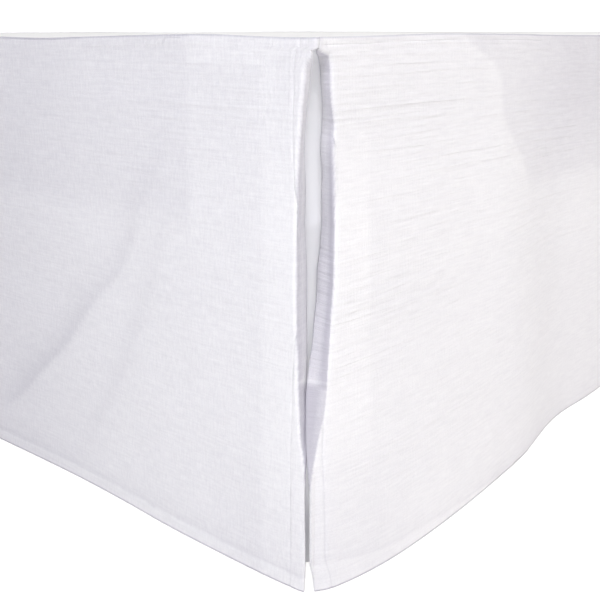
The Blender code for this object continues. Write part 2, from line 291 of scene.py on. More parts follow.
SPLIT_SIDE_FAR = table(
    Turn,
    # height, fold, cut, angle
    (0.000, 0.0005, 0.0003, 0),
    (0.080, 0.0002, -0.0002, 0),
    (0.140, 0.0075, 0.0003, 92),
    (0.230, 0.0120, 0.0005, 100),
    (0.320, 0.0115, 0.0010, 100),
    (0.358, 0.0105, 0.0010, 95),
    (0.370, 0.0105, 0.0020, 70),
    (0.3765, 0.0065, 0.0015, 35),
    (0.3805, 0.0006, 0.0004, 0),
)
HEAD_END = table(Turn, (0.000, 0.0, 0.0, 0), (0.3805, 0.0, 0.0, 0))

# How far each hem swells out at the floor, along the drop from its near corner
SWELL_FOOT = table(
    Swell,
    # along, out
    (0.000, 0.0035),
    (0.006, 0.0050),
    (0.020, 0.0060),
    (0.086, 0.0070),
    (0.150, 0.0060),
    (0.200, 0.0032),
    (0.260, 0.0012),
    (0.340, 0.0014),
    (0.480, 0.0050),
    (0.620, 0.0075),
    (0.780, 0.0040),
    (0.950, 0.0065),
    (1.120, 0.0110),
    (1.300, 0.0070),
    (1.420, 0.0100),
    (1.500, 0.0080),
    (1.524, 0.0040),
)
SWELL_RIGHT = table(
    Swell,
    # along, out
    (0.000, 0.0005),
    (0.009, 0.0065),
    (0.023, 0.0110),
    (0.040, 0.0148),
    (0.065, 0.0185),
    (0.104, 0.0210),
    (0.160, 0.0215),
    (0.215, 0.0200),
    (0.287, 0.0150),
    (0.347, 0.0075),
    (0.401, 0.0035),
    (0.500, 0.0030),
    (0.650, 0.0080),
    (0.820, 0.0130),
    (1.020, 0.0070),
    (1.250, 0.0040),
    (1.480, 0.0105),
    (1.720, 0.0120),
    (1.920, 0.0060),
    (2.032, 0.0050),
)
SWELL_LEFT = table(
    Swell,
    # along, out
    (0.000, 0.0020),
    (0.030, 0.0070),
    (0.110, 0.0120),
    (0.260, 0.0090),
    (0.430, 0.0040),
    (0.640, 0.0080),
    (0.880, 0.0140),
    (1.130, 0.0090),
    (1.380, 0.0050),
    (1.630, 0.0110),
    (1.860, 0.0080),
    (2.032, 0.0040),
)

# Soft folds: a line from a low point to a high one, its bow sideways, half width and depth. A valley's depth
# is below zero.
FOLDS_FOOT = table(
    Fold,
    # low height, along, high height, along, bow, width, depth
    (0.000, 0.470, 0.300, 0.395, 0.010, 0.045, -0.0035),
    (0.000, 0.700, 0.350, 0.760, 0.012, 0.050, -0.0042),
    (0.000, 0.905, 0.260, 0.860, -0.010, 0.034, 0.0035),
    (0.000, 1.040, 0.330, 0.980, 0.008, 0.042, -0.0040),
    (0.000, 1.250, 0.300, 1.330, -0.012, 0.046, -0.0042),
    (0.020, 1.400, 0.240, 1.385, 0.004, 0.030, 0.0030),
)
FOLDS_RIGHT = table(
    Fold,
    # low height, along, high height, along, bow, width, depth
    (0.000, 0.405, 0.372, 0.275, 0.030, 0.052, -0.0042),
    (0.020, 0.300, 0.330, 0.205, 0.016, 0.040, 0.0020),
    (0.000, 0.560, 0.330, 0.520, 0.010, 0.048, -0.0040),
    (0.000, 0.760, 0.300, 0.705, -0.010, 0.040, 0.0034),
    (0.000, 0.940, 0.340, 1.000, 0.014, 0.055, -0.0046),
    (0.000, 1.180, 0.280, 1.130, 0.006, 0.042, -0.0030),
    (0.000, 1.370, 0.320, 1.420, -0.012, 0.046, 0.0036),
    (0.000, 1.600, 0.350, 1.560, 0.010, 0.050, -0.0044),
    (0.000, 1.830, 0.300, 1.870, 0.008, 0.044, -0.0036),
)
FOLDS_LEFT = table(
    Fold,
    # low height, along, high height, along, bow, width, depth
    (0.000, 0.210, 0.300, 0.160, -0.010, 0.044, -0.0036),
    (0.000, 0.380, 0.340, 0.450, 0.012, 0.052, -0.0040),
    (0.000, 0.720, 0.320, 0.680, -0.008, 0.048, 0.0034),
    (0.000, 1.020, 0.350, 0.960, 0.010, 0.056, -0.0046),
    (0.000, 1.270, 0.300, 1.330, -0.012, 0.048, -0.0034),
    (0.000, 1.520, 0.330, 1.480, 0.010, 0.050, 0.0038),
    (0.000, 1.760, 0.340, 1.800, 0.012, 0.054, -0.0042),
)

# Creases with a crest on one side: each falls off steeply from its crest line and comes back slowly. One
# that runs "up" has a place along the drop for each height, and one that runs "along" has a height for each
# place.
CREASES_FOOT = (
    Crease("up", 1, 0.024, 0.0035, table(
        Knot,
        # height, along, depth
        (0.030, 0.392, 0.0000),
        (0.060, 0.352, -0.0030),
        (0.089, 0.320, -0.0036),
        (0.130, 0.273, -0.0036),
        (0.167, 0.239, -0.0032),
        (0.215, 0.188, -0.0026),
        (0.255, 0.168, -0.0018),
        (0.299, 0.139, -0.0010),
        (0.340, 0.122, 0.0000),
    )),
    Crease("up", 1, 0.016, 0.0060, table(
        Knot,
        # height, along, depth
        (0.010, 0.270, 0.0000),
        (0.057, 0.239, -0.0012),
        (0.122, 0.196, -0.0018),
        (0.161, 0.175, -0.0017),
        (0.221, 0.147, -0.0011),
        (0.290, 0.130, 0.0000),
    )),
)
CREASES_RIGHT = (
    Crease("along", 1, 0.0035, 0.0015, table(
        Knot,
        # along, height, depth
        (0.050, 0.3810, 0.0000),
        (0.075, 0.3790, -0.0005),
        (0.092, 0.3782, -0.0007),
        (0.120, 0.3800, -0.0007),
        (0.149, 0.3815, -0.0004),
        (0.175, 0.3800, -0.0006),
        (0.205, 0.3775, -0.0006),
        (0.250, 0.3765, 0.0000),
    )),
)
CREASES_LEFT = (
    Crease("up", 1, 0.022, 0.0040, table(
        Knot,
        # height, along, depth
        (0.020, 0.330, 0.0000),
        (0.090, 0.300, -0.0022),
        (0.180, 0.262, -0.0026),
        (0.280, 0.232, 0.0000),
    )),
)

# Small straight wrinkles: middle along and up, lean from level in degrees, length, half width and depth
RIPPLES_FOOT = table(
    Ripple,
    # along, height, lean, length, width, depth
    (0.058, 0.3662, -38, 0.012, 0.0013, -0.00035),
    (0.150, 0.0900, 62, 0.040, 0.0060, 0.00040),
    (0.118, 0.1300, 78, 0.090, 0.0090, -0.00045),
    (0.064, 0.0800, 84, 0.070, 0.0060, -0.00030),
)
RIPPLES_RIGHT = table(
    Ripple,
    # along, height, lean, length, width, depth
    (0.036, 0.2450, -52, 0.034, 0.0014, 0.00030),
    (0.120, 0.0700, 8, 0.070, 0.0022, -0.00035),
    (0.180, 0.1500, -14, 0.090, 0.0040, -0.00035),
    (0.260, 0.0950, 18, 0.110, 0.0050, 0.00040),
)
RIPPLES_LEFT = table(
    Ripple,
    # along, height, lean, length, width, depth
    (0.220, 0.1400, 70, 0.080, 0.0080, -0.00040),
    (0.900, 0.2000, -60, 0.100, 0.0090, 0.00050),
)

# The top seam's waves, up and down along each drop
WAVES_FOOT = table(
    Wave,
    # along, lift
    (0.000, -0.0004),
    (0.019, -0.0004),
    (0.046, 0.0000),
    (0.084, 0.0012),
    (0.127, 0.0010),
    (0.173, 0.0000),
    (0.234, -0.0013),
    (0.279, -0.0020),
    (0.340, -0.0014),
    (0.430, 0.0006),
    (0.560, 0.0010),
    (0.720, -0.0008),
    (0.900, 0.0009),
    (1.100, -0.0010),
    (1.300, 0.0008),
    (1.524, 0.0000),
)
WAVES_RIGHT = table(
    Wave,
    # along, lift
    (0.000, -0.0002),
    (0.047, 0.0001),
    (0.091, 0.0008),
    (0.129, 0.0013),
    (0.231, 0.0009),
    (0.336, -0.0006),
    (0.450, -0.0012),
    (0.620, 0.0008),
    (0.850, 0.0010),
    (1.080, -0.0009),
    (1.350, 0.0009),
    (1.620, -0.0006),
    (1.850, 0.0008),
    (2.032, 0.0000),
)
WAVES_LEFT = table(
    Wave,
    # along, lift
    (0.000, 0.0000),
    (0.210, 0.0010),
    (0.470, -0.0009),
    (0.760, 0.0008),
    (1.050, 0.0011),
    (1.380, -0.0010),
    (1.700, 0.0007),
    (2.032, 0.0000),
)

# How strongly each drop puckers under its top seam
PUCKERS_FOOT = table(
    Pucker,
    # along, strength
    (0.000, 0.00),
    (0.030, 0.22),
    (0.080, 0.16),
    (0.105, 0.75),
    (0.165, 1.00),
    (0.205, 0.80),
    (0.240, 0.22),
    (0.420, 0.30),
    (0.700, 0.60),
    (1.000, 0.20),
    (1.350, 0.65),
    (1.524, 0.10),
)
PUCKERS_RIGHT = table(
    Pucker,
    # along, strength
    (0.000, 0.10),
    (0.060, 0.08),
    (0.230, 0.12),
    (0.420, 0.25),
    (0.800, 0.55),
    (1.200, 0.15),
    (1.700, 0.60),
    (2.032, 0.20),
)
PUCKERS_LEFT = table(Pucker, (0.000, 0.20), (0.600, 0.60), (1.200, 0.20), (1.700, 0.55), (2.032, 0.20))

# Height of the floor hem's stitching along each drop
HEM_PLAIN = table(Hem, (0.000, 0.0127), (2.100, 0.0127))
HEM_RIGHT = table(
    Hem,
    # along, height
    (0.000, 0.0245),
    (0.012, 0.0238),
    (0.030, 0.0195),
    (0.055, 0.0146),
    (0.085, 0.0127),
    (2.100, 0.0127),
)

# Width of a drop's side hem at its near corner, against the width set for all hems
SIDE_HEM_PLAIN = table(Share, (0.000, 1.0), (0.390, 1.0))
SIDE_HEM_RIGHT = table(
    Share,
    # height, share
    (0.000, 0.86),
    (0.040, 0.85),
    (0.080, 0.82),
    (0.120, 0.68),
    (0.165, 1.00),
    (0.330, 1.00),
    (0.350, 0.76),
    (0.390, 0.62),
)

# Inserts: each with its name, its node and its side of the bed
INSERTS = table(Insert, ("right_insert", "insert_right", 1), ("left_insert", "insert_left", -1))

# How an insert rounds the corner, how much it glows with painted light for the light through the gauze, and
# its ripples
INSERT_ROUNDS = table(
    Round,
    # height, radius
    (0.0000, 0.073),
    (0.1000, 0.070),
    (0.2000, 0.067),
    (0.2900, 0.064),
    (0.3300, 0.060),
    (0.3500, 0.056),
    (0.3620, 0.052),
    (0.3710, 0.044),
    (0.3768, 0.019),
    (0.3798, 0.016),
)
INSERT_LIGHT = table(
    Share,
    # height, share
    (0.000, 0.35),
    (0.035, 0.38),
    (0.060, 0.95),
    (0.089, 1.05),
    (0.120, 0.75),
    (0.150, 0.75),
    (0.185, 0.90),
    (0.220, 0.70),
    (0.254, 0.37),
    (0.287, 0.55),
    (0.318, 0.66),
    (0.348, 0.82),
    (0.366, 0.78),
    (0.380, 0.60),
)
RIPPLES_INSERT = table(
    Ripple,
    # along, height, lean, length, width, depth
    (0.000, 0.2640, 24, 0.070, 0.0035, 0.00110),
    (-0.004, 0.1130, 6, 0.060, 0.0022, 0.00080),
    (0.006, 0.1640, 76, 0.060, 0.0075, -0.00130),
    (-0.010, 0.3050, 82, 0.090, 0.0090, -0.00110),
    (0.012, 0.3430, -40, 0.040, 0.0040, 0.00090),
    (-0.008, 0.0600, 86, 0.090, 0.0090, 0.00100),
)

# Ranges of a smooth step: one that gives 1 on all the cloth, and one that gives 0
EVERYWHERE = (-2.0, -1.0)
NOWHERE = (9.0, 10.0)

# Where the insert behind a drop makes a patch of lighter painted shade: its far edge with its blur, its
# foot, the part that is plain beside the corner, the part tucked in at the top, and its level of painted
# shade
PATCH_PLAIN = Patch(
    edge=table(Edge, (0.000, 0.111), (0.390, 0.111)),
    blur=0.0025, foot=EVERYWHERE, near=(0.045, 0.038), tuck=(0.367, 0.3695), tone=0.34)
PATCH_RIGHT = Patch(
    edge=table(
        Edge,
        # height, along
        (0.213, 0.297),
        (0.280, 0.280),
        (0.319, 0.240),
        (0.366, 0.217),
        (0.380, 0.180),
    ),
    blur=0.004, foot=(0.216, 0.228), near=NOWHERE, tuck=NOWHERE, tone=0.32)

# Soft painted shades on the open cloth of a drop, painted light where the strength is below zero: a shade
# rises between two places along it and two heights, or falls where the first is the larger
SHADES_PLAIN = table(
    Shade,
    # strength, flat from, flat to, height from, height to
    (0.80, 0.055, 0.015, 0.260, 0.360),
    (-0.28, 0.055, 0.015, 0.020, 0.100),
    (0.50, 0.190, 0.320, 0.100, 0.280),
    (0.30, 0.030, 0.060, 0.260, 0.340),
    (-0.30, 0.1085, 0.1135, 0.260, 0.340),
    (0.50, 0.120, 0.050, 0.130, 0.020),
)
SHADES_FOOT = SHADES_PLAIN + table(Shade, (0.90, 0.180, 0.380, 0.340, 0.100))
SHADES_LEFT = SHADES_PLAIN + table(Shade, (0.54, 0.180, 0.380, 0.340, 0.100))
SHADES_RIGHT = table(
    Shade,
    # strength, flat from, flat to, height from, height to
    (-0.40, 0.056, 0.048, 0.060, 0.140),
    (0.28, 0.056, 0.048, 0.260, 0.340),
    (0.25, *EVERYWHERE, 0.280, 0.350),
    (1.00, 0.240, 0.380, 0.200, 0.340),
    (0.45, 0.180, 0.380, 0.340, 0.100),
    (0.50, 0.120, 0.050, 0.130, 0.020),
)

NEAR_CORNER = (HALF_WIDTH, -HALF_LENGTH)
LEFT_CORNER = (-HALF_WIDTH, -HALF_LENGTH)
DROPS = (
    Drop(
        name="foot_drop", node="panel_foot", corner=NEAR_CORNER, along=(-1, 0), outward=(0, -1),
        length=BED_WIDTH, near=SPLIT_FOOT, far=SPLIT_FOOT_FAR, swell=SWELL_FOOT, folds=FOLDS_FOOT,
        creases=CREASES_FOOT, ripples=RIPPLES_FOOT, waves=WAVES_FOOT, hem=HEM_PLAIN, side_hem=SIDE_HEM_PLAIN,
        puckers=PUCKERS_FOOT, groove=0.3833, column_step=0.0054, row_step=0.0016, seed=11,
        look=Look(
            crinkle=0.42, warp=1.0, turned_shade=0.35, low_shade=0.85, turned_fade=0.0, hem_line=1.0,
            side_line=0.10, top_line=0.55, ridge_light=0.0, patch=PATCH_PLAIN, shades=SHADES_FOOT)),
    Drop(
        name="right_drop", node="panel_side_right", corner=NEAR_CORNER, along=(0, 1), outward=(1, 0),
        length=BED_LENGTH, near=SPLIT_SIDE, far=HEAD_END, swell=SWELL_RIGHT, folds=FOLDS_RIGHT,
        creases=CREASES_RIGHT, ripples=RIPPLES_RIGHT, waves=WAVES_RIGHT, hem=HEM_RIGHT,
        side_hem=SIDE_HEM_RIGHT, puckers=PUCKERS_RIGHT, groove=0.3809, column_step=0.0054, row_step=0.0016,
        seed=23,
        look=Look(
            crinkle=1.0, warp=0.42, turned_shade=0.48, low_shade=1.05, turned_fade=0.40, hem_line=0.55,
            side_line=0.20, top_line=0.55, ridge_light=0.0, patch=PATCH_RIGHT, shades=SHADES_RIGHT)),
    Drop(
        name="left_drop", node="panel_side_left", corner=LEFT_CORNER, along=(0, 1), outward=(-1, 0),
        length=BED_LENGTH, near=SPLIT_SIDE_FAR, far=HEAD_END, swell=SWELL_LEFT, folds=FOLDS_LEFT,
        creases=CREASES_LEFT, ripples=RIPPLES_LEFT, waves=WAVES_LEFT, hem=HEM_PLAIN, side_hem=SIDE_HEM_PLAIN,
        puckers=PUCKERS_LEFT, groove=0.3825, column_step=0.012, row_step=0.0026, seed=37,
        look=Look(
            crinkle=0.7, warp=0.8, turned_shade=0.45, low_shade=0.9, turned_fade=0.3, hem_line=0.8,
            side_line=0.10, top_line=0.0, ridge_light=1.0, patch=PATCH_PLAIN, shades=SHADES_LEFT)),
)

# Columns of a drop: from its near corner on, then with the drop's own step, then wide apart to its far end,
# whose columns are given as distances from that end
NEAR_COLUMNS = table(
    Spacing,
    # start, end, step
    (0.0000, 0.0036, 0.0012),
    (0.0036, 0.0210, 0.0005),
    (0.0210, 0.0270, 0.0012),
    (0.0270, 0.0620, 0.0035),
)
OPEN_FROM, OPEN_TO, FAR_STEP = 0.062, 0.470, 0.030
SPLIT_END_COLUMNS = (
    0.0, 0.0018, 0.0036, 0.0054, 0.0074, 0.0094, 0.0114, 0.0127, 0.0142, 0.019, 0.027, 0.040)
PLAIN_END_COLUMNS = (0.0, 0.006, 0.0114, 0.0127, 0.0142, 0.022, 0.040)

# Base: its round corners, the points round its plan, the soft unevenness of its border, and its section, a
# border between two welts
BASE_LOW, BASE_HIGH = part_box("foundation")
BASE_ROUND = 0.070
BASE_LEAST_ROUND = 0.004
BASE_TURN_POINTS = 13
BASE_END_POINTS = 26
BASE_SIDE_POINTS = 34
BASE_SOFT = 0.0004
BASE_SOFT_CELL = (0.13, 0.06)
BASE_BORDER_LOW = (0.006, 0.03)
BASE_BORDER_HIGH = (0.125, 0.149)
BASE_SECTION = table(
    Section,
    # inset, height
    (0.2200, 0.0040),
    (0.0600, 0.0036),
    (0.0130, 0.0026),
    (0.0085, 0.0018),
    (0.0060, 0.0004),
    (0.0036, 0.0000),
    (0.0014, 0.0008),
    (0.0004, 0.0028),
    (0.0008, 0.0050),
    (0.0026, 0.0070),
    (0.0040, 0.0086),
    (0.0032, 0.0110),
    (0.0020, 0.0200),
    (0.0010, 0.0420),
    (0.0006, 0.0775),
    (0.0010, 0.1130),
    (0.0020, 0.1350),
    (0.0032, 0.1440),
    (0.0040, 0.1464),
    (0.0026, 0.1480),
    (0.0008, 0.1500),
    (0.0004, 0.1522),
    (0.0014, 0.1542),
    (0.0036, 0.1550),
    (0.0060, 0.1546),
    (0.0085, 0.1532),
    (0.0130, 0.1528),
    (0.0300, 0.1540),
    (0.0700, 0.1547),
    (0.2200, 0.1549),
)

# A leg, from its glide up: radius and height
LEG_SECTION = table(
    Lathe,
    # radius, height
    (0.0150, 0.0000),
    (0.0168, 0.0006),
    (0.0172, 0.0030),
    (0.0184, 0.0032),
    (0.0197, 0.0044),
    (0.0202, 0.0064),
    (0.0216, 0.0600),
    (0.0231, 0.1100),
    (0.0246, 0.1600),
    (0.0259, 0.2020),
    (0.0262, 0.2045),
    (0.0251, 0.2058),
    (0.0250, 0.2072),
    (0.0262, 0.2085),
    (0.0265, 0.2120),
    (0.0267, 0.2230),
    (0.0259, 0.2243),
    (0.0245, 0.2247),
)
LEG_SIDES = 40

# Soft lamps: places and aims from the near corner of the bed
LAMPS = table(
    Lamp,
    # name, place, aim, size, power, colour
    ("top_lamp", (0.70, -0.70, 1.90), (0.0, 0.0, 0.2), 1.0, 22.2, (0.965, 0.960, 1.0)),
    ("front_lamp", (0.95, -1.05, 0.90), (0.0, 0.0, 0.2), 0.8, 3.4, (1.0, 0.99, 0.99)),
    ("right_lamp", (1.30, 0.55, 0.75), (0.0, 0.3, 0.2), 1.0, 4.6, (1.0, 0.965, 0.925)),
    ("far_right_lamp", (0.90, 1.50, 0.80), (0.0, 0.8, 0.2), 1.0, 3.6, (1.0, 0.95, 0.88)),
    ("left_lamp", (0.00, -1.40, 0.80), (-0.1, 0.0, 0.2), 0.8, 5.2, (0.905, 0.915, 1.0)),
    ("deck_lamp", (-0.80, 1.10, 1.70), (-0.80, 1.10, 0.0), 1.6, 14.0, (1.0, 0.99, 0.97)),
    ("behind_left_lamp", (-3.30, 1.00, 0.90), (-1.50, 1.00, 0.15), 1.6, 18.0, (0.97, 0.975, 1.0)),
    ("behind_head_lamp", (-0.76, 4.10, 0.90), (-0.76, 2.00, 0.15), 1.6, 16.0, (1.0, 0.99, 0.975)),
)

# Camera, from the near corner of the bed
CAMERA_OUT = Vector((0.357, -0.438, 0.390))
CAMERA_TURN = math.radians(40.1)
CAMERA_PITCH = math.radians(16.7)
CAMERA_LENS = 54.2
CAMERA_SENSOR = 36.0
CAMERA_CLIP = 0.01

# Floor and sky, and how bright the camera sees them
FLOOR_REACH = 30.0
FLOOR_SEEN = 0.7
SKY_SEEN = 1.1
WHITE = (1.0, 1.0, 1.0, 1.0)


# --------------------------------------------------------------------------------------------------
# Sizes and colours


class BedSkirtCloth(bpy.types.PropertyGroup):
    """Sizes of the cloth's relief and of its sewing."""

    crinkle: FloatProperty(
        name="Crinkle", description="Height of the gauze's crinkles", default=0.000035, min=0.0, max=0.002,
        unit="LENGTH", precision=5)
    dents: FloatProperty(
        name="Dents", description="Depth of the shallow dents in the hanging cloth", default=0.00055,
        min=0.0, max=0.003, unit="LENGTH", precision=5)
    hem: FloatProperty(
        name="Side Hem", description="Width of the side hems", default=0.0127, min=0.005, max=0.05,
        unit="LENGTH", precision=4)
    seam_groove: FloatProperty(
        name="Seam Groove", description="Depth of the groove under the top ridge", default=0.0008, min=0.0,
        max=0.0012, unit="LENGTH", precision=5)
    hem_groove: FloatProperty(
        name="Stitch Groove", description="Depth to which stitching pulls a hem in", default=0.0004, min=0.0,
        max=0.001, unit="LENGTH", precision=5)
    stitch_pitch: FloatProperty(
        name="Stitch Pitch", description="Distance between stitches", default=0.0030, min=0.001, max=0.01,
        unit="LENGTH", precision=4)
    stitch_length: FloatProperty(
        name="Stitch Length", description="Length of a stitch on the face", default=0.0022, min=0.0005,
        max=0.01, unit="LENGTH", precision=4)
    thread: FloatProperty(
        name="Thread", description="Thickness of the sewing thread", default=0.00042, min=0.0001, max=0.002,
        unit="LENGTH", precision=5)
    seed: IntProperty(name="Seed", description="Seed of the crinkle and the stitches", default=5, min=0)


class BedSkirtColours(bpy.types.PropertyGroup):
    """Colours of the cloths, thread, base and legs, and the painted shade and painted glow of the cloths."""

    gauze: FloatVectorProperty(
        name="Gauze", description="Colour of the crinkled cotton", default=(0.93, 0.925, 0.937),
        subtype="COLOR", min=0.0, max=1.0)
    # Painted shade: the colour of the gauze in the split's shadow and over the base seen through it
    gauze_painted_shade: FloatVectorProperty(
        name="Gauze Shade", description="Colour of the gauze at its darkest, on a hem turned into a split",
        default=(0.560, 0.545, 0.605), subtype="COLOR", min=0.0, max=1.0)
    insert: FloatVectorProperty(
        name="Insert", description="Colour of the smooth cotton insert", default=(0.86, 0.86, 0.885),
        subtype="COLOR", min=0.0, max=1.0)
    deck: FloatVectorProperty(
        name="Deck", description="Colour of the deck's plain cloth", default=(0.83, 0.827, 0.82),
        subtype="COLOR", min=0.0, max=1.0)
    cover: FloatVectorProperty(
        name="Base Cover", description="Colour of the base's woven cover", default=(0.72, 0.71, 0.68),
        subtype="COLOR", min=0.0, max=1.0)
    # Painted light: the inserts, a drop's ridge and the deck glow, standing in for light that comes through
    # cloth
    insert_glow: FloatProperty(
        name="Insert Glow", description="Strength of the light through the gauze onto the inserts",
        default=0.28, min=0.0, max=1.0)
    ridge_glow: FloatProperty(
        name="Ridge Glow", description="Strength of the light through a ridge with the light behind it",
        default=0.55, min=0.0, max=1.0)
    deck_glow: FloatProperty(
        name="Deck Glow", description="Strength of the light that comes back through the deck's cloth",
        default=0.13, min=0.0, max=1.0)
    thread: FloatVectorProperty(
        name="Thread", description="Colour of the sewing thread", default=(0.91, 0.905, 0.91),
        subtype="COLOR", min=0.0, max=1.0)
    wood: FloatVectorProperty(
        name="Wood", description="Colour of the stained legs", default=(0.20, 0.115, 0.062),
        subtype="COLOR", min=0.0, max=1.0)


class BedSkirtStage(bpy.types.PropertyGroup):
    """Floor and light of the studio."""

    floor: FloatVectorProperty(
        name="Floor", description="Colour of the pale floor", default=(0.945, 0.935, 0.905),
        subtype="COLOR", min=0.0, max=1.0)
    floor_glow: FloatProperty(
        name="Floor Glow", description="Brightness that the floor adds of its own", default=0.16,
        min=0.0, max=2.0)
    sky: FloatVectorProperty(
        name="Sky", description="Colour of the light from all round", default=(0.94, 0.945, 1.0),
        subtype="COLOR", min=0.0, max=1.0)
    sky_strength: FloatProperty(
        name="Sky Strength", description="Strength of the light from all round", default=0.14,
        min=0.0, max=5.0)
    lamp_level: FloatProperty(
        name="Lamp Level", description="Power of all the lamps together", default=1.0, min=0.0, max=10.0)


# --------------------------------------------------------------------------------------------------
# How the cloth hangs


def through(rows, at, column):
    """Reads one column of a table at the given places, on a smooth curve through its rows."""
    x = np.array([row[0] for row in rows])
    y = np.array([getattr(row, column) for row in rows])
    slope = np.gradient(y, x)
    at = np.clip(at, x[0], x[-1])
    k = np.clip(np.searchsorted(x, at, side="right") - 1, 0, len(x) - 2)
    step = x[k + 1] - x[k]
    t = (at - x[k]) / step
    start = (1 + 2 * t) * (1 - t) ** 2 * y[k] + t * (1 - t) ** 2 * step * slope[k]
    end = t * t * (3 - 2 * t) * y[k + 1] - t * t * (1 - t) * step * slope[k + 1]
    return start + end


def smooth_step(value, low, high):
    """0 at low, 1 at high and smooth between them."""
    t = np.clip((value - low) / (high - low), 0, 1)
    return t * t * (3 - 2 * t)


def noise(across, up, seed):
    """Smooth random values from -1 to 1 on unit cells."""
    lattice = np.random.default_rng(seed).uniform(-1.0, 1.0, (LATTICE, LATTICE))
    column = np.floor(across).astype(int)
    row = np.floor(up).astype(int)
    x = smooth_step(across - column, 0, 1)
    y = smooth_step(up - row, 0, 1)
    c0, c1, r0, r1 = column % LATTICE, (column + 1) % LATTICE, row % LATTICE, (row + 1) % LATTICE
    low = lattice[r0, c0] * (1 - x) + lattice[r0, c1] * x
    high = lattice[r1, c0] * (1 - x) + lattice[r1, c1] * x
    return low * (1 - y) + high * y


def cloth_noise(flat, height, cell, seed, drift=0.0):
    """Smooth random values on cells of the cloth, moved up or down by a drift in cells."""
    return noise(flat / cell[0], height / cell[1] + drift, seed)


def turned_end(turns, flat, height):
    """Distance from the corner and distance inwards of cloth near an end whose hem turns in."""
    fold = through(turns, height, "fold")
    cut = through(turns, height, "cut")
    angle = np.radians(np.clip(through(turns, height, "angle"), 0, None))
    place = flat + cut * np.clip(1 - flat / CUT_FADE, 0, 1)
    start = fold + TURN_RADIUS * TURN_LEAD * np.minimum(angle, math.pi / 2)
    past = np.clip(start - place, 0, None)
    bend = np.minimum(past / TURN_RADIUS, angle)
    rest = past - TURN_RADIUS * bend
    along = np.where(past > 0, start - TURN_RADIUS * np.sin(bend) - rest * np.cos(angle), place)
    inward = TURN_RADIUS * (1 - np.cos(bend)) + rest * np.sin(angle)
    return along, inward


def fold_depth(folds, along, height):
    """Sum of the soft folds at a place on a drop."""
    depth = np.zeros_like(along)
    for fold in folds:
        t = (height - fold.low_height) / (fold.high_height - fold.low_height)
        middle = fold.low_along + (fold.high_along - fold.low_along) * t + 4 * fold.bow * t * (1 - t)
        across = np.exp(-(((along - middle) / fold.width) ** 2))
        fade = np.clip((t + FOLD_RUN_IN) / FOLD_RUN_IN, 0, 1) * np.clip((FOLD_END - t) / FOLD_RUN_OUT, 0, 1)
        depth += fold.depth * across * fade * fade * (3 - 2 * fade)
    return depth


def crease_depth(creases, along, height):
    """Sum of the creases: steep beside the crest, deepest one reach away from it, then slowly back."""
    depth = np.zeros_like(along)
    for crease in creases:
        at, place = (height, along) if crease.runs == "up" else (along, height)
        line = through(crease.knots, at, "place")
        ahead = through(crease.knots, at + CREST_STEP, "place")
        lean = np.hypot(1.0, (ahead - line) / CREST_STEP)
        beside = crease.side * (place - line) / lean
        past = (beside + np.sqrt(beside**2 + crease.rounding**2)) / 2 / crease.reach
        depth += through(crease.knots, at, "depth") * past * np.exp(1 - past)
    return depth


def crease_shade(creases, along, height):
    """Painted shade beside the creases: darkest at once beside the crest line and slowly gone."""
    shade = np.zeros_like(along)
    for crease in creases:
        at, place = (height, along) if crease.runs == "up" else (along, height)
        beside = crease.side * (place - through(crease.knots, at, "place"))
        reach = smooth_step(beside, *CREST_SHADE) * np.exp(-np.clip(beside, 0, None) / crease.reach)
        shade -= through(crease.knots, at, "depth") / FULL_CREASE * reach
    return shade


def ripple_depth(ripples, along, height):
    """Sum of the small straight wrinkles."""
    depth = np.zeros_like(along)
    for ripple in ripples:
        lean = math.radians(ripple.lean)
        across = along - ripple.along
        up = height - ripple.height
        run = across * math.cos(lean) + up * math.sin(lean)
        beside = up * math.cos(lean) - across * math.sin(lean)
        depth += ripple.depth * np.exp(-((run / ripple.length * 2) ** 2) - (beside / ripple.width) ** 2)
    return depth


def crinkle(flat, height, seed):
    """Crests of the crinkled gauze: long, thin and nearly level, and unevenly strong."""
    drift = cloth_noise(flat, height, DRIFT_CELL, seed)
    long = cloth_noise(flat, height, LONG_CRINKLE, seed + 1, LONG_DRIFT * drift)
    short = cloth_noise(flat, height, SHORT_CRINKLE, seed + 2, SHORT_DRIFT * drift)
    patch = PATCH_MEAN + PATCH_SPREAD * cloth_noise(flat, height, CRINKLE_PATCH, seed + 3)
    crests = np.exp(-((long / CREST_WIDTH) ** 2))
    return patch * (crests + SHORT_SHARE * short)


def spaced(start, end, step):
    """Evenly spaced places from a start up to, but without, an end."""
    return np.linspace(start, end, round((end - start) / step), endpoint=False)


def drop_columns(drop):
    """Places of a drop's columns: closest at a split's turned hem, close where the cloth is seen near."""
    near = [spaced(*spacing) for spacing in NEAR_COLUMNS]
    open_cloth = spaced(OPEN_FROM, OPEN_TO, drop.column_step)
    end = np.array(PLAIN_END_COLUMNS if drop.far is HEAD_END else SPLIT_END_COLUMNS)
    rest = spaced(OPEN_TO, drop.length - end[-1], FAR_STEP)
    return np.concatenate((*near, open_cloth, rest, drop.length - end[::-1]))


def drop_rows(drop):
    """Heights of a drop's rows, closest at the top seam."""
    plain = np.linspace(DROP_FOOT, SEAM_FOOT, round((SEAM_FOOT - DROP_FOOT) / drop.row_step))
    seam = np.linspace(SEAM_FOOT, RIDGE_TOP, SEAM_ROWS)
    return np.concatenate((plain, seam[1:]))


